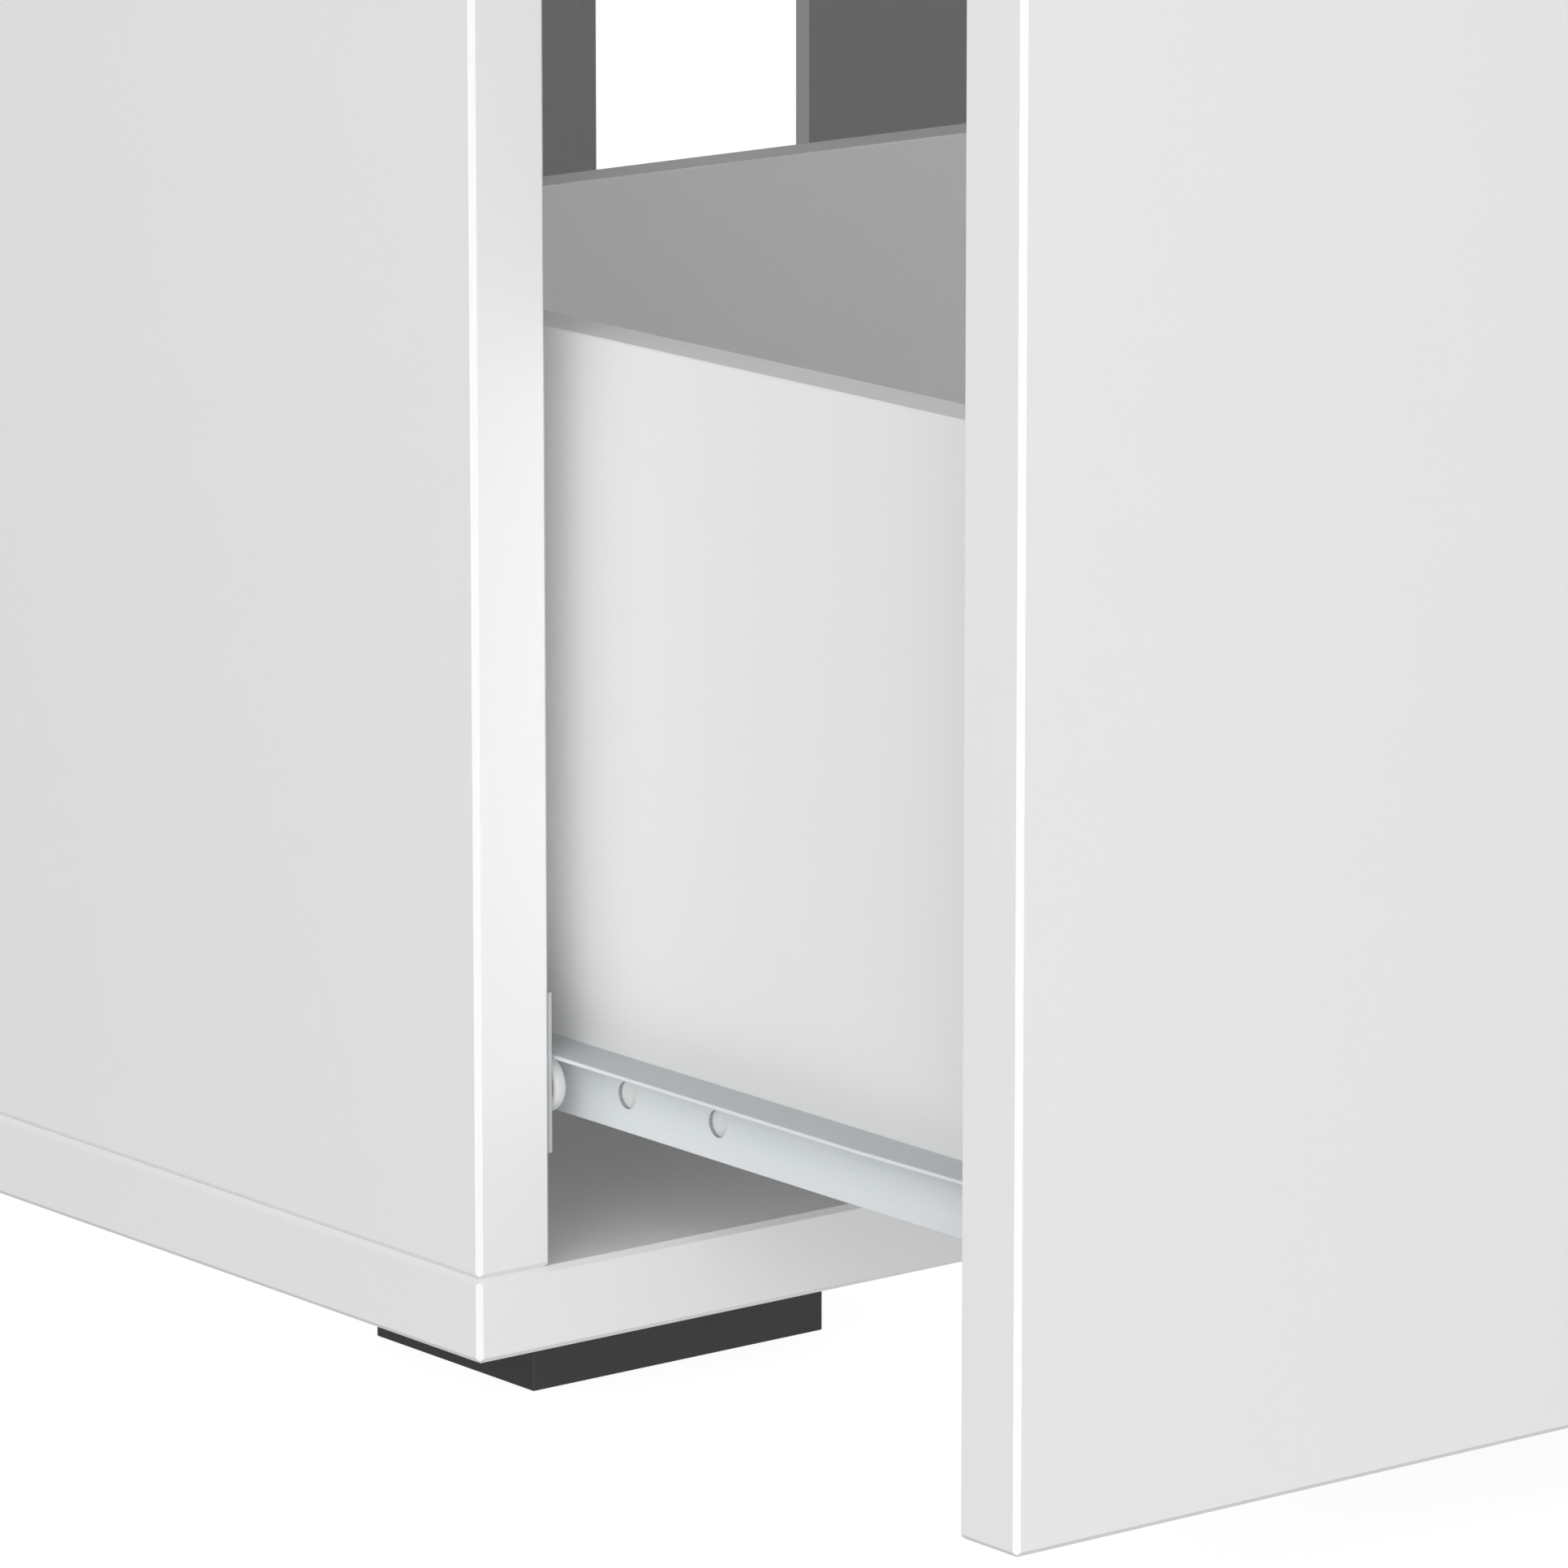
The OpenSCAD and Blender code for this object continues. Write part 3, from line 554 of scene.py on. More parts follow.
def box_bm(bm, lo, hi):
    v = [bm.verts.new((x, y, z)) for x in (lo[0], hi[0]) for y in (lo[1], hi[1]) for z in (lo[2], hi[2])]
    for f in ((0, 1, 3, 2), (4, 6, 7, 5), (0, 4, 5, 1), (2, 3, 7, 6), (0, 2, 6, 4), (1, 5, 7, 3)):
        bm.faces.new([v[i] for i in f])


def cross_cut(me, width, half, depth, top):
    """Cuts the two arms of the cross one after the other, so that each cutter is a plain convex block"""
    for turn in (0, 1):
        bm = bmesh.new()
        pts = []
        for z, k, w in ((top - 0.4, 1.06, 1.0), (top + depth, 0.42, 0.8)):
            for sx, sy in ((-1, -1), (1, -1), (1, 1), (-1, 1)):
                x, y = sx * half * k, sy * width / 2 * w
                if turn:
                    x, y = -y, x
                pts.append(bm.verts.new((x * MM, y * MM, z * MM)))
        bm.faces.new(pts[0:4][::-1])
        bm.faces.new(pts[4:8])
        for i in range(4):
            j = (i + 1) % 4
            bm.faces.new((pts[i], pts[j], pts[4 + j], pts[4 + i]))
        me = carve(me, to_mesh(bm, "cross"))
    return me


def thread_rings(core, amp, z0, z1, pitch, tip=None, per=6):
    """Ring list for a thread that fades in and out at its ends"""
    n = max(2, int(round((z1 - z0) / pitch * per)))
    out = []
    for i in range(n + 1):
        z = z0 + (z1 - z0) * i / n
        fade = min(1.0, (z - z0) / (0.8 * pitch))
        if tip is None:
            fade = min(fade, (z1 - z) / (0.8 * pitch), 1.0)
        out.append((core, z, amp * max(0.0, fade)))
    return out


def wood_screw_mesh(r, l, head_r, head_h, pitch):
    """Countersunk chipboard screw: head top at z = 0, point at z = l (mm)"""
    core = r * 0.66
    point = 1.9 * r
    rings = [(0, 0, 0), (head_r * 0.55, 0, 0), (head_r * 0.88, 0, 0), (head_r * 0.97, head_h * 0.07, 0),
             (head_r * 0.985, head_h * 0.2, 0), (head_r * 0.93, head_h * 0.28, 0), (r * 1.0, head_h * 0.97, 0), (r * 0.80, head_h * 1.12, 0),
             (core * 1.12, head_h * 1.3, 0)]
    t = thread_rings(core, r - core, head_h * 1.5, l - point, pitch, tip=True)
    rings += t
    n = 9
    for i in range(1, n):
        k = i / n
        rings.append((core * (1 - k) ** 0.8, l - point + point * k, (r - core) * (1 - k) ** 1.1))
    rings.append((0, l, 0))
    bm = lathe([(a * MM, z * MM, h * MM) for a, z, h in rings], 28, pitch * MM)
    me = to_mesh(bm, "wood_screw")
    return cross_cut(me, head_r * 0.26, head_r * 0.62, head_h * 0.8, 0.0)


def pan_screw_mesh(r, l, head_r, head_h, pitch, machine=False):
    """Pan-head screw: seat at z = 0, head on the -Z side, point at z = l (mm)"""
    core = r * (0.80 if machine else 0.68)
    dome = [(head_r * math.sin(a), -head_h * (0.38 + 0.62 * math.cos(a)), 0) for a in
            [math.radians(d) for d in (14, 26, 38, 50, 62, 74, 84)]]
    rings = [(0, -head_h, 0)] + dome + [(head_r, -head_h * 0.30, 0), (head_r, -0.14, 0), (head_r * 0.97, -0.01, 0), (r * 1.02, 0, 0), (core * 1.15, 0.25, 0)]
    point = 0.9 if machine else 1.9 * r
    rings += thread_rings(core, r - core, 0.6, l - point, pitch, tip=True)
    n = 4 if machine else 9
    for i in range(1, n):
        k = i / n
        if machine:
            rings.append((core * (1 - 0.35 * k), l - point + point * k, (r - core) * (1 - k)))
        else:
            rings.append((core * (1 - k) ** 0.8, l - point + point * k, (r - core) * (1 - k) ** 1.1))
    if machine:
        rings.append((core * 0.62, l, 0))
    rings.append((0, l, 0))
    bm = lathe([(a * MM, z * MM, h * MM) for a, z, h in rings], 28, pitch * MM)
    me = to_mesh(bm, "pan_screw")
    return cross_cut(me, head_r * 0.24, head_r * 0.56, head_h * 0.85, -head_h)


def placed(me, spots, name):
    """One mesh with a copy of me at each matrix"""
    bm = bmesh.new()
    for mat in spots:
        part = bmesh.new()
        part.from_mesh(me)
        bmesh.ops.transform(part, matrix=mat, verts=part.verts)
        tmp = bpy.data.meshes.new("tmp")
        part.to_mesh(tmp)
        part.free()
        bm.from_mesh(tmp)
        bpy.data.meshes.remove(tmp)
    out = bpy.data.meshes.new(name)
    bm.to_mesh(out)
    bm.free()
    return out


def turn_to(direction, spin=0.0):
    """Rotation that takes +Z to a direction"""
    return Vector(direction).to_track_quat("Z", "Y").to_matrix().to_4x4() @ Matrix.Rotation(math.radians(spin), 4, "Z")


def spot(x, y, z, direction, right=False, spin=0.0):
    """Place in carcass coordinates (mm), mirrored to the right side if asked"""
    p = corner + Vector((x, y, z)) * MM
    d = Vector(direction)
    if right:
        p.x, d.x = -p.x, -d.x
    return Matrix.Translation(p) @ turn_to(d, spin)


def mirrored(me, name):
    bm = bmesh.new()
    bm.from_mesh(me)
    bmesh.ops.transform(bm, matrix=Matrix.Scale(-1, 4, (1, 0, 0)), verts=bm.verts)
    bmesh.ops.reverse_faces(bm, faces=bm.faces)
    out = bpy.data.meshes.new(name)
    bm.to_mesh(out)
    bm.free()
    for m in me.materials:
        out.materials.append(m)
    return out


# ---------------------------------------------------------------- dimensions (mm, carcass coordinates)
W, D, H = 500.0, 400.0, 420.0
SIDE, BOARD = 20.0, 19.0
OPEN, FRONT_T = 164.3, 19.0
FY = -OPEN
BX, BOX_T, BOX_L, BOX_Z = 32.7, 12.0, 343.0, 50.7
RAIL_T, RAIL_Z, RAIL_H, CHAN_W, CHAN_Y, RAIL_L, RAIL_Y = 0.9, 44.4, 36.1, 9.5, 20.0, 350.0, 0.8
ROLL_R, GAP, SHEET = 6.5, 0.2, 1.0
DR_B = BOX_Z - SHEET
DR_T = DR_B + 16.85
FL_W, FL_DROP = 10.5, 0.6
CR_Y, CR_X, CR_W = 8.0, 22.3, 3.6
CR_Z = DR_T - FL_DROP - SHEET - GAP - ROLL_R
WR_Y, WR_X, WR_W = FY + BOX_L - 8, 22.7, 5.0
WR_Z = RAIL_Z + RAIL_T + GAP + ROLL_R
TOP_FL = WR_Z + ROLL_R + GAP
WEB_Z = 58.2

# ---------------------------------------------------------------- boards, feet, handle
for n in ("bottom_panel", "top_panel", "side_panel_left", "side_panel_right", "drawer_front"):
    soften(n, 0.16, 2, core=True)
for n in ("drawer_side_left", "drawer_side_right", "drawer_back"):
    soften(n, 0.10, 2, core=True)
soften("back_panel", 0.25, 2, core=True, inner=band_mat)
soften("drawer_bottom", 0.2, 2, core=False)
for n in ("foot_front_left", "foot_front_right", "foot_rear_left", "foot_rear_right"):
    soften(n, 0.12, 3)
soften("handle", 1.4, 5, angle=50.0)
for n in ("carcass_cam_locks", "drawer_cam_locks"):
    soften(n, 0.18, 2, angle=40.0)


# ---------------------------------------------------------------- rails
def rounded_outline(pts, radii, n=5):
    """Closed 2D outline with each corner rounded by its own radius"""
    out = []
    k = len(pts)
    for i in range(k):
        a, b, c = Vector(pts[i - 1]), Vector(pts[i]), Vector(pts[(i + 1) % k])
        r = radii[i]
        if r <= 0:
            out.append(b)
            continue
        u, v = (a - b).normalized(), (c - b).normalized()
        half = u.angle(v) / 2
        d = r / math.tan(half)
        centre = b + (u + v).normalized() * (r / math.sin(half))
        p0, p1 = b + u * d, b + v * d
        a0 = math.atan2(p0.y - centre.y, p0.x - centre.x)
        a1 = math.atan2(p1.y - centre.y, p1.x - centre.x)
        while a1 - a0 > math.pi:
            a1 -= 2 * math.pi
        while a1 - a0 < -math.pi:
            a1 += 2 * math.pi
        for j in range(n + 1):
            t = a0 + (a1 - a0) * j / n
            out.append(Vector((centre.x + r * math.cos(t), centre.y + r * math.sin(t))))
    return out


def sweep(outline, stations):
    """Closed solid: the XZ outline at each Y. A station is (y, f), and f maps an outline point at that place."""
    bm = bmesh.new()
    rows = []
    for y, f in stations:
        row = []
        for p in outline:
            q = f(p) if f else p
            v = corner + Vector((q[0], y, q[1])) * MM
            row.append(bm.verts.new(v))
        rows.append(row)
    n = len(outline)
    for a, b in zip(rows, rows[1:]):
        for i in range(n):
            j = (i + 1) % n
            bm.faces.new((a[i], a[j], b[j], b[i]))
    bm.faces.new(rows[0][::-1])
    bm.faces.new(rows[-1])
    return bm


def hole_cutter(specs):
    """Rods along X through a rail's web: (y, z, radius, slot length, x from, x to)"""
    bm = bmesh.new()
    for y, z, r, slot, xa, xb in specs:
        seg = 40
        rows = []
        for x in (xa, xb):
            row = []
            for k in range(seg):
                t = 2 * math.pi * (k + 0.5) / seg
                yy = y + r * math.cos(t) + (slot / 2 if math.cos(t) > 0 else -slot / 2)
                row.append(bm.verts.new(corner + Vector((x, yy, z + r * math.sin(t))) * MM))
            rows.append(row)
        for k in range(seg):
            j = (k + 1) % seg
            bm.faces.new((rows[0][k], rows[0][j], rows[1][j], rows[1][k]))
        bm.faces.new(rows[0][::-1])
        bm.faces.new(rows[1])
    return to_mesh(bm, "holes")


def soften_mesh(me, width, segments, angle, name):
    bm = bmesh.new()
    bm.from_mesh(me)
    layer = bm.faces.layers.float.get("edge") or bm.faces.layers.float.new("edge")
    bmesh.ops.remove_doubles(bm, verts=bm.verts, dist=1e-6)
    sharp = [e for e in bm.edges if len(e.link_faces) == 2 and e.calc_face_angle(0.0) > math.radians(angle)]
    out = bmesh.ops.bevel(bm, geom=sharp, offset=width * MM, offset_type="OFFSET", segments=segments,
                          profile=0.5, affect="EDGES", clamp_overlap=True)
    for f in out["faces"]:
        f[layer] = 1.0
    return to_mesh(bm, name)


def drawer_rail():
    """Angle rail: foot flange under the side, web, bend, and a flange that falls to its outer edge"""
    x0, x1 = BX - SHEET, BX
    xo = BX - FL_W
    slope = FL_DROP / FL_W
    top = lambda x: DR_T - (BX - x) * slope
    pts = [
        (x1, DR_T), (xo, top(xo)), (xo, top(xo) - SHEET), (x0, top(x0) - SHEET),
        (x0, DR_B), (x0 + BOX_T + SHEET - 0.5, DR_B), (x0 + BOX_T + SHEET - 0.5, DR_B + SHEET), (x1, DR_B + SHEET),
    ]
    radii = [0.22, 0.46, 0.30, 0.9, 0.35, 0.28, 0.28, 0.0]
    line = rounded_outline(pts, radii, 5)

    def tip(y):
        """At the flange's front end its outer edge is drawn in a little"""
        o = y - FY
        pull = 0.0 if o > 62 else 1.6 * (1 - (o - 5) / 57.0) if o > 5 else 1.6 + 0.4 * (5 - o) / 6.0
        pull = max(0.0, min(2.0, pull))

        def f(p):
            x, z = p[0], p[1]
            if z > 60 and x < x0 - 1.2:
                k = (x0 - 1.2 - x) / (x0 - 1.2 - xo)
                return (x + pull * k, z + pull * k * slope)
            return (x, z)
        return f

    ys = [FY + 0.6, FY + 1.5, FY + 5, FY + 12, FY + 24, FY + 40, FY + 62, FY + 120, FY + 200, FY + 280, FY + 326,
          FY + BOX_L - 13, FY + BOX_L - 8, FY + BOX_L - 4, FY + BOX_L - 1.5, FY + BOX_L - 0.4]

    def tail(y):
        o = y - FY
        k0 = (o - 330) / 13.0

        def f(p):
            x, z = p[0], p[1]
            if z > 60 and x < x0 - 1.2 and k0 > 0:
                k = (x0 - 1.2 - x) / (x0 - 1.2 - xo)
                pull = 4.0 * (1 - math.sqrt(max(0.0, 1 - min(1.0, k0) ** 2)))
                return (x + pull * k, z + pull * k * slope)
            return (x, z)
        return f

    st = [(y, tip(y) if y - FY < 100 else tail(y)) for y in ys]
    me = to_mesh(sweep(line, st), "drawer_rail")
    xa, xb = x0 - 2, x1 + 2
    holes = [(FY + o, WEB_Z, 3.1, 0, xa, xb) for o in (152.3, 120.3)]
    holes += [(FY + o, WEB_Z, 1.85, 0, xa, xb) for o in (13, 240, 304)]
    holes += [(FY + o, WEB_Z, 2.1, 10, xa, xb) for o in (200, 272)]
    holes.append((FY + BOX_L - 8, WR_Z, 2.03, 0, xa, xb))
    me = carve(me, hole_cutter(holes))
    return mark_holes(soften_mesh(me, 0.10, 2, 42.0, "drawer_rail"), holes, mats["rail_steel"])


def mark_holes(me, holes, base):
    """Gives the walls of punched holes the dark bare-edge material, which paints their shade"""
    me.materials.append(base)
    me.materials.append(punched_shade_mat)
    for p in me.polygons:
        c = (p.center - corner) / MM
        if abs(p.normal.x) > 0.55:
            continue
        for y, z, r, slot, xa, xb in holes:
            dy = max(0.0, abs(c.y - y) - slot / 2)
            if xa < c.x < xb and math.hypot(dy, c.z - z) < r + 0.1:
                p.material_index = 1
                break
    return me


rail = drawer_rail()
finish_piece("drawer_rail_left_strip", rail, "drawer_rail_left", 30.0)
finish_piece("drawer_rail_right_strip", mirrored(rail, "drawer_rail_right"), "drawer_rail_right", 30.0)


def cabinet_rail():
    """Plate on the side panel, with a channel whose lower flange has an upturned lip"""
    x0, x1, xe = SIDE, SIDE + RAIL_T, SIDE + CHAN_W
    zt = RAIL_Z + RAIL_H
    # plate
    plate = rounded_outline([(x0, RAIL_Z), (x1, RAIL_Z), (x1, zt), (x0, zt)], [0, 0.22, 0.22, 0], 3)
    ya, yb = RAIL_Y, RAIL_Y + RAIL_L
    bm = sweep(plate, [(y, None) for y in (ya, ya + 20, yb - 20, yb)])
    me = to_mesh(bm, "plate")
    holes = [(y, 72.0, 2.6, 0, x0 - 2, x1 + 2) for y in (37, 165, 293)]
    holes += [(y, 72.0, 3.1, 0, x0 - 2, x1 + 2) for y in (69, 197, 229, 325)]
    holes += [(y, 72.0, 2.3, 8, x0 - 2, x1 + 2) for y in (101, 261)]
    holes.append((CR_Y, CR_Z, 2.03, 0, x0 - 2, x1 + 2))
    me = soften_mesh(carve(me, hole_cutter(holes)), 0.12, 2, 42.0, "plate")
    # channel: two rolled flanges that grow from the plate through a bend
    lower = rounded_outline([
        (x0 + 0.3, RAIL_Z), (xe, RAIL_Z), (xe, RAIL_Z + 3), (xe - 1, RAIL_Z + 3), (xe - 1, RAIL_Z + RAIL_T),
        (x1, RAIL_Z + RAIL_T), (x1, RAIL_Z + RAIL_T + 1.6), (x0 + 0.3, RAIL_Z + RAIL_T + 1.6)],
        [0, 0.9, 0.3, 0.3, 0.35, 0.8, 0, 0], 5)
    upper = rounded_outline([
        (x0 + 0.3, TOP_FL - 0.5), (x1 - 0.05, TOP_FL - 0.5), (x1 - 0.05, TOP_FL), (xe, TOP_FL), (xe, TOP_FL + RAIL_T), (x1, TOP_FL + RAIL_T),
        (x1, TOP_FL + RAIL_T + 1.6), (x0 + 0.3, TOP_FL + RAIL_T + 1.6)],
        [0, 0, 0.2, 0.28, 0.28, 0.8, 0, 0], 5)
    parts = [me]
    for line, end in ((lower, CHAN_Y + RAIL_L - 24), (upper, CHAN_Y + RAIL_L - 30)):
        b = sweep(line, [(y, None) for y in (CHAN_Y, CHAN_Y + 8, CHAN_Y + 160, end - 8, end)])
        parts.append(soften_mesh(to_mesh(b, "flange"), 0.12, 2, 42.0, "flange"))
    # rear stop
    b = bmesh.new()
    ys = CHAN_Y + RAIL_L - 25.1
    box_bm(b, corner + Vector((x0 + 0.3, ys, RAIL_Z + 0.2)) * MM, corner + Vector((xe, ys + RAIL_T, RAIL_Z + 9)) * MM)
    parts.append(soften_mesh(to_mesh(b, "stop"), 0.2, 3, 42.0, "stop"))
    bm = bmesh.new()
    for p in parts:
        bm.from_mesh(p)
    out = bpy.data.meshes.new("cabinet_rail")
    bm.to_mesh(out)
    bm.free()
    return mark_holes(out, holes, plate_shade_mat)


rail = cabinet_rail()
finish_piece("cabinet_rail_left_strip", rail, "cabinet_rail_left", 30.0)
finish_piece("cabinet_rail_right_strip", mirrored(rail, "cabinet_rail_right"), "cabinet_rail_right", 30.0)


# ---------------------------------------------------------------- rollers and axles
def roller_mesh(r, w):
    """Moulded roller along +Z: crowned tread, recessed faces, hub rings and bore"""
    c = min(1.6, w * 0.36)
    b = 2.05
    pts = [(b, 0.25), (b + 0.25, 0), (r - 2.6, 0), (r - 2.2, 0.5), (r - 1.6, 0.5), (r - 1.1, 0.1), (r - c * 0.45, c * 0.16),
           (r - c * 0.14, c * 0.52), (r, c), (r, w - c), (r - c * 0.14, w - c * 0.52), (r - c * 0.45, w - c * 0.16),
           (r - 1.1, w - 0.1), (r - 1.6, w - 0.5), (r - 2.2, w - 0.5), (r - 2.6, w), (b + 0.25, w), (b, w - 0.25)]
    line = smooth_profile(pts, 0.35, 3)
    bm = lathe([(a * MM, z * MM, 0) for a, z in line + [line[0]]], 96)
    bmesh.ops.remove_doubles(bm, verts=bm.verts, dist=1e-7)
    return to_mesh(bm, "roller")


for right in (False, True):
    tag = "right" if right else "left"
    for node, x, y, z, w in (("cabinet_roller_" + tag, CR_X, CR_Y, CR_Z, CR_W), ("drawer_roller_" + tag, WR_X, WR_Y, WR_Z, WR_W)):
        me = placed(roller_mesh(ROLL_R, w), [spot(x, y, z, (1, 0, 0), right)], node)
        finish_piece(node + "_moulding", me, node, 40.0)


def axle_mesh(pts, r=0.18):
    line = smooth_profile(pts, r, 3)
    return to_mesh(lathe([(max(a, 0) * MM, z * MM, 0) for a, z in line], 64), "axle")


cab_axle = [(0, 0), (3.2, 0), (3.6, 0.4), (3.6, 2.9), (2, 2.9), (2, 2.9 + RAIL_T), (3.4, 2.9 + RAIL_T),
            (3.4, CR_X - SIDE + 2.75), (2, CR_X - SIDE + 2.75), (2, CR_X - SIDE + 3.05 + CR_W), (3, CR_X - SIDE + 3.05 + CR_W),
            (3, CR_X - SIDE + 3.65 + CR_W), (2.2, CR_X - SIDE + 4.1 + CR_W), (0, CR_X - SIDE + 4.1 + CR_W)]
a0, b0, w0 = WR_X - 0.15, WR_X + WR_W + 0.15, BX - SHEET - 0.6
drw_axle = [(0, a0 - 0.7), (2.4, a0 - 0.7), (3, a0 - 0.28), (3, a0), (2, a0), (2, b0), (3.2, b0), (3.2, w0), (2, w0), (2, BX - 0.02), (0, BX - 0.02)]
for right in (False, True):
    tag = "right" if right else "left"
    node = "cabinet_roller_axle_" + tag
    finish_piece(node + "_rivet", placed(axle_mesh(cab_axle), [spot(SIDE - 2.9, CR_Y, CR_Z, (1, 0, 0), right)], node), node, 35.0)
    node = "drawer_roller_axle_" + tag
    finish_piece(node + "_rivet", placed(axle_mesh(drw_axle), [spot(0, WR_Y, WR_Z, (1, 0, 0), right)], node), node, 35.0)

# ---------------------------------------------------------------- screws
foot_xs = (60 + 42 - 24, 60 + 42 + 24, W - 60 - 42 - 24, W - 60 - 42 + 24)
foot_ys = (60 + 30, D - 45 - 30)
me = placed(wood_screw_mesh(2.0, 26, 4.1, 2.2, 1.8), [spot(x, y, 18.02 - 30, (0, 0, 1), spin=17 * i + 40 * j) for i, x in enumerate(foot_xs) for j, y in enumerate(foot_ys)], "foot_screws")
finish_piece("foot_screws_threaded", me, "foot_screws", 35.0, weighted=False)
me = placed(pan_screw_mesh(2.5, 12, 4.0, 1.5, 1.8), [spot(SIDE + RAIL_T, y, 72, (-1, 0, 0), r, 23 * i) for i, y in enumerate((37, 165, 293)) for r in (False, True)], "cabinet_rail_screws")
finish_piece("cabinet_rail_screws_threaded", me, "cabinet_rail_screws", 35.0, weighted=False)
me = placed(pan_screw_mesh(1.75, 9, 3.3, 1.4, 1.4), [spot(BX - SHEET, FY + o, WEB_Z, (1, 0, 0), r, 31 * i) for i, o in enumerate((13, 240, 304)) for r in (False, True)], "drawer_rail_screws")
finish_piece("drawer_rail_screws_threaded", me, "drawer_rail_screws", 35.0, weighted=False)
me = placed(wood_screw_mesh(1.75, 33, 3.5, 2.1, 1.6), [spot(BX + 0.02, FY + BOX_L - 6, BOX_Z + z, (1, 0, 0), r, 19 * i) for i, z in enumerate((45, 140)) for r in (False, True)], "drawer_back_screws")
finish_piece("drawer_back_screws_threaded", me, "drawer_back_screws", 35.0, weighted=False)
me = placed(wood_screw_mesh(1.5, 16, 2.9, 1.7, 1.35), [spot(x, FY + BOX_L - 6, BOX_Z + 10.02, (0, 0, 1), spin=27 * i) for i, x in enumerate((120, 250, 380))], "drawer_bottom_screws")
finish_piece("drawer_bottom_screws_threaded", me, "drawer_bottom_screws", 35.0, weighted=False)
me = placed(pan_screw_mesh(2.0, 29, 4.0, 1.7, 0.7, machine=True), [spot(250 + s * 80, FY, H - 52, (0, -1, 0), spin=33 * s) for s in (-1, 1)], "handle_screws")
finish_piece("handle_screws_threaded", me, "handle_screws", 35.0, weighted=False)


# ---------------------------------------------------------------- cam bolts, dowels, buffers
def cam_bolt_mesh(l, thread, tr, sr, cr, hr):
    rings = [(0, -thread, 0), (tr * 0.55, -thread, 0), (tr * 0.70, -thread + 0.7, 0)]
    rings += thread_rings(tr * 0.72, tr * 0.28, -thread + 0.9, -0.6, 1.6)
    rings += [(tr * 0.86, -0.2, 0), (tr * 0.9, 0, 0), (cr * 0.94, 0, 0), (cr, 0.25, 0), (cr, 2.1, 0), (cr * 0.95, 2.4, 0), (sr * 1.05, 3.3, 0), (sr, 3.5, 0)]
    rings += [(sr, l - 5.4, 0), (sr * 0.94, l - 5.1, 0), (hr * 0.64, l - 4.4, 0), (hr * 0.62, l - 4.1, 0), (hr * 0.62, l - 3.2, 0), (hr * 0.70, l - 2.9, 0),
              (hr * 0.96, l - 2.2, 0), (hr, l - 1.9, 0), (hr, l - 1.0, 0), (hr * 0.93, l - 0.55, 0), (hr * 0.74, l - 0.1, 0), (hr * 0.6, l, 0), (0, l, 0)]
    return to_mesh(lathe([(a * MM, z * MM, h * MM) for a, z, h in rings], 28, 1.6 * MM), "cam_bolt")


spots = []
for r in (False, True):
    for y in (60, 320):
        spots.append(spot(SIDE / 2, y, BOARD, (0, 0, 1), r))
        spots.append(spot(SIDE / 2, y, H - BOARD, (0, 0, -1), r))
finish_piece("carcass_cam_bolts_turned", placed(cam_bolt_mesh(34, 10.5, 2.5, 2.6, 3.9, 3.5), spots, "carcass_cam_bolts"), "carcass_cam_bolts", 35.0, weighted=False)
spots = [spot(BX + BOX_T / 2, FY, BOX_Z + z, (0, 1, 0), r) for z in (45, 140) for r in (False, True)]
finish_piece("drawer_cam_bolts_turned", placed(cam_bolt_mesh(24, 10.5, 2.5, 2.3, 3.4, 3.0), spots, "drawer_cam_bolts"), "drawer_cam_bolts", 35.0, weighted=False)


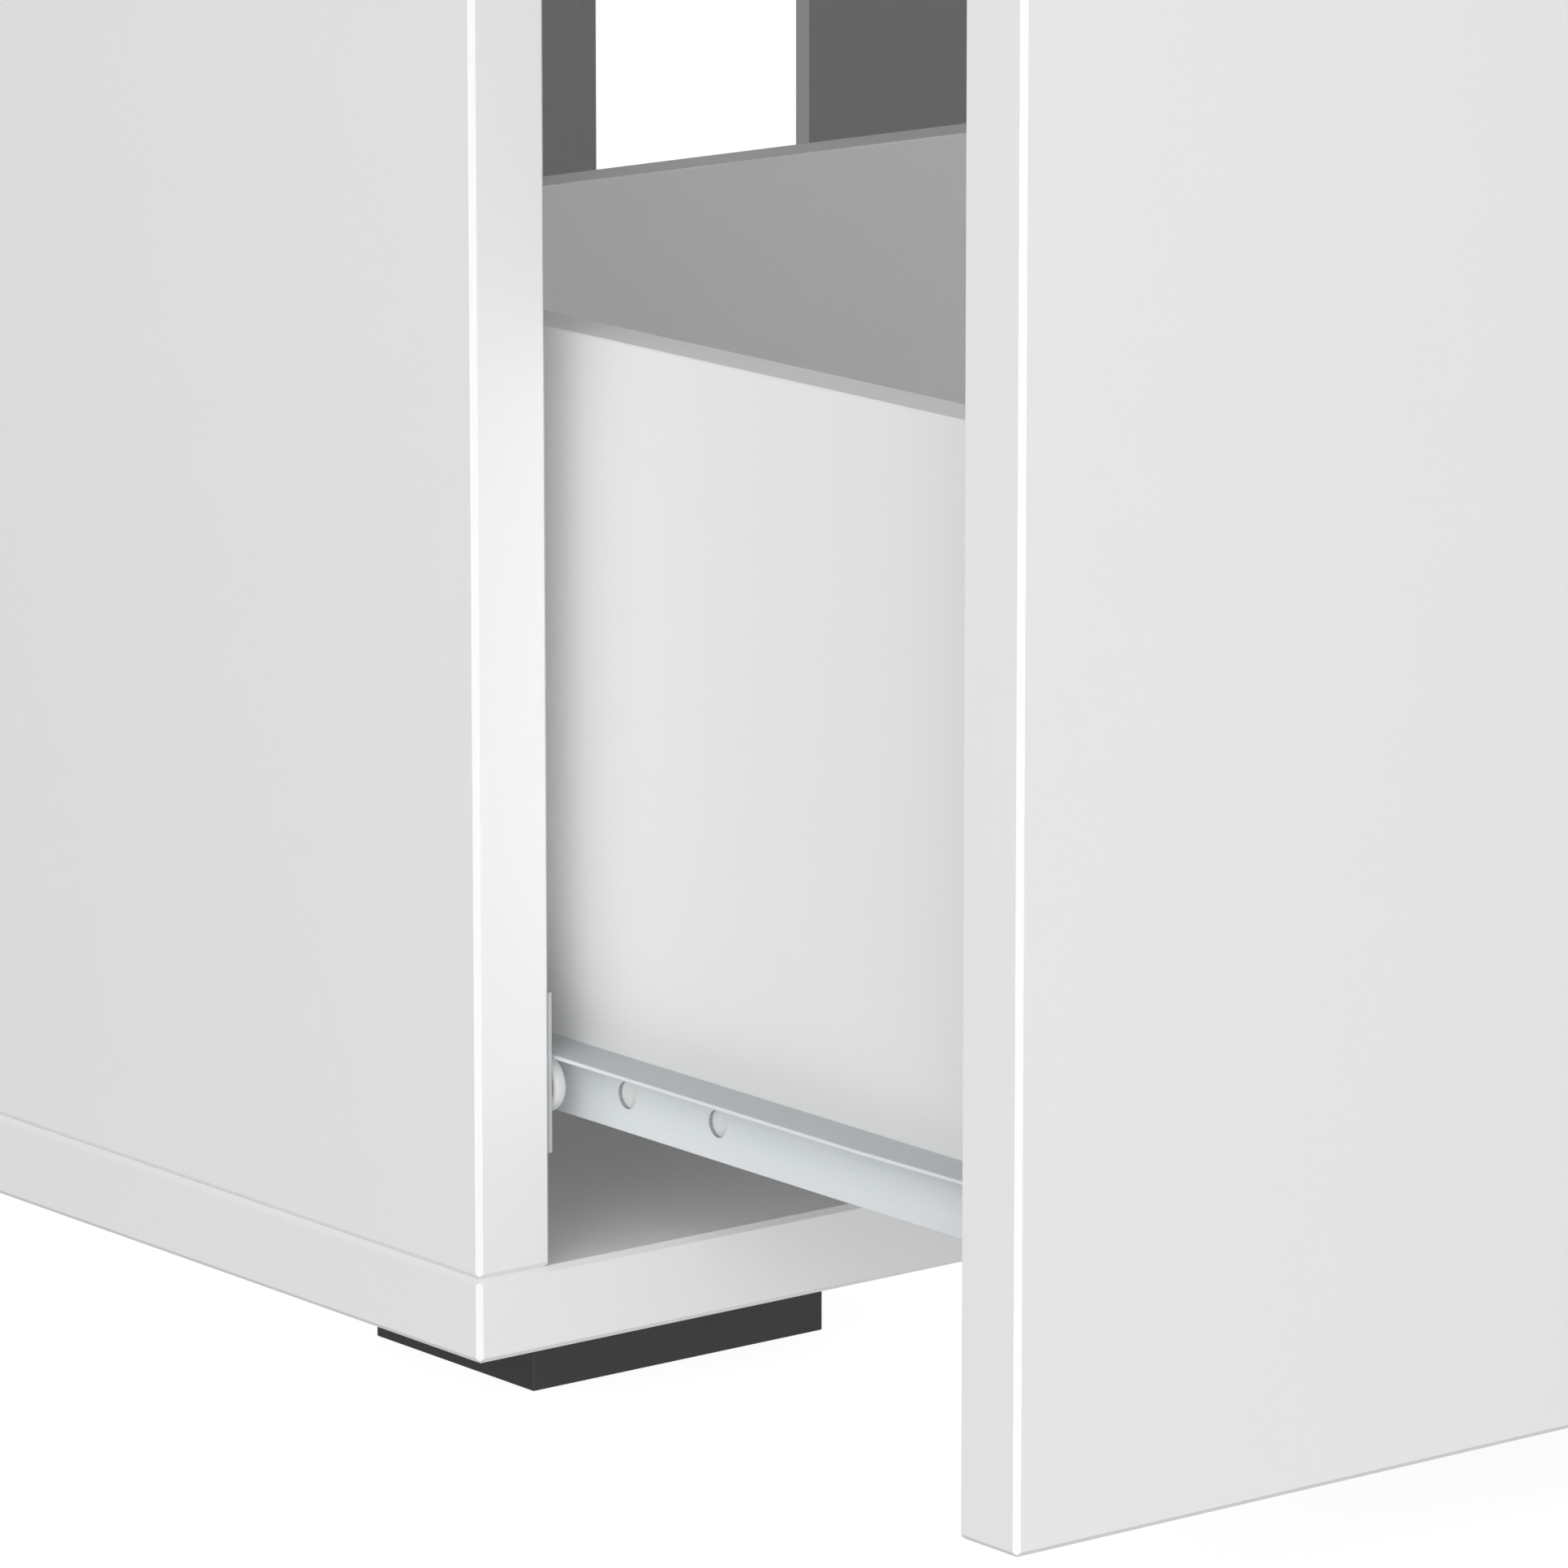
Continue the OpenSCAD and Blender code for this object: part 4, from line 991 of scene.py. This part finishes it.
def dowel_mesh(r, l, flutes=20):
    """Fluted beech dowel with rounded ends"""
    bm = bmesh.new()
    rows = []
    seg = flutes * 4
    prof = [(0.55, 0.0, 0), (0.82, 0.18, 0), (0.95, 0.5, 0.4), (1.0, 0.95, 1), (1.0, l * 0.5, 1), (1.0, l - 0.95, 1), (0.95, l - 0.5, 0.4), (0.82, l - 0.18, 0), (0.55, l, 0)]
    for k, z, f in prof:
        row = []
        for i in range(seg):
            t = 2 * math.pi * i / seg
            cut = 0.13 * f * (0.5 - 0.5 * math.cos(flutes * t)) ** 2
            rr = (r * k - cut) * MM
            row.append(bm.verts.new((rr * math.cos(t), rr * math.sin(t), z * MM)))
        rows.append(row)
    for a, b in zip(rows, rows[1:]):
        for i in range(seg):
            j = (i + 1) % seg
            bm.faces.new((a[i], b[i], b[j], a[j]))
    bm.faces.new(rows[0])
    bm.faces.new(rows[-1][::-1])
    return to_mesh(bm, "dowel")


spots = []
for r in (False, True):
    for y in (100, 280):
        spots.append(spot(SIDE / 2, y, BOARD - 11, (0, 0, 1), r))
        spots.append(spot(SIDE / 2, y, H - BOARD + 11, (0, 0, -1), r))
finish_piece("carcass_dowels_fluted", placed(dowel_mesh(4, 29), spots, "carcass_dowels"), "carcass_dowels", 35.0, weighted=False)
bm = bmesh.new()
for r in (False, True):
    for z in (22, 92):
        bm.from_mesh(placed(dowel_mesh(3, 28.5, 16), [spot(BX + BOX_T / 2, FY - 11, BOX_Z + z, (0, 1, 0), r)], "d"))
    bm.from_mesh(placed(dowel_mesh(3, 22, 16), [spot(BX + BOX_T - 7.5, FY + BOX_L - 6, BOX_Z + 92, (1, 0, 0), r)], "d"))
me = bpy.data.meshes.new("drawer_dowels")
bm.to_mesh(me)
bm.free()
finish_piece("drawer_dowels_fluted", me, "drawer_dowels", 35.0, weighted=False)

dome_line = [(0, 0), (4, 0), (4, 0.8)] + [(4 * math.cos(a) * 1.0, 0.8 + 0.9 * math.sin(a)) for a in [math.radians(d) for d in (10, 20, 30, 42, 54, 66, 78)]] + [(0, 1.7)]
me = placed(to_mesh(lathe([(a * MM, z * MM, 0) for a, z in dome_line], 64), "buffer"),
            [spot(SIDE / 2, FY, z, (0, 1, 0), r) for z in (40, H - 40) for r in (False, True)], "front_buffers")
finish_piece("front_buffers_domed", me, "front_buffers", 40.0, weighted=False)
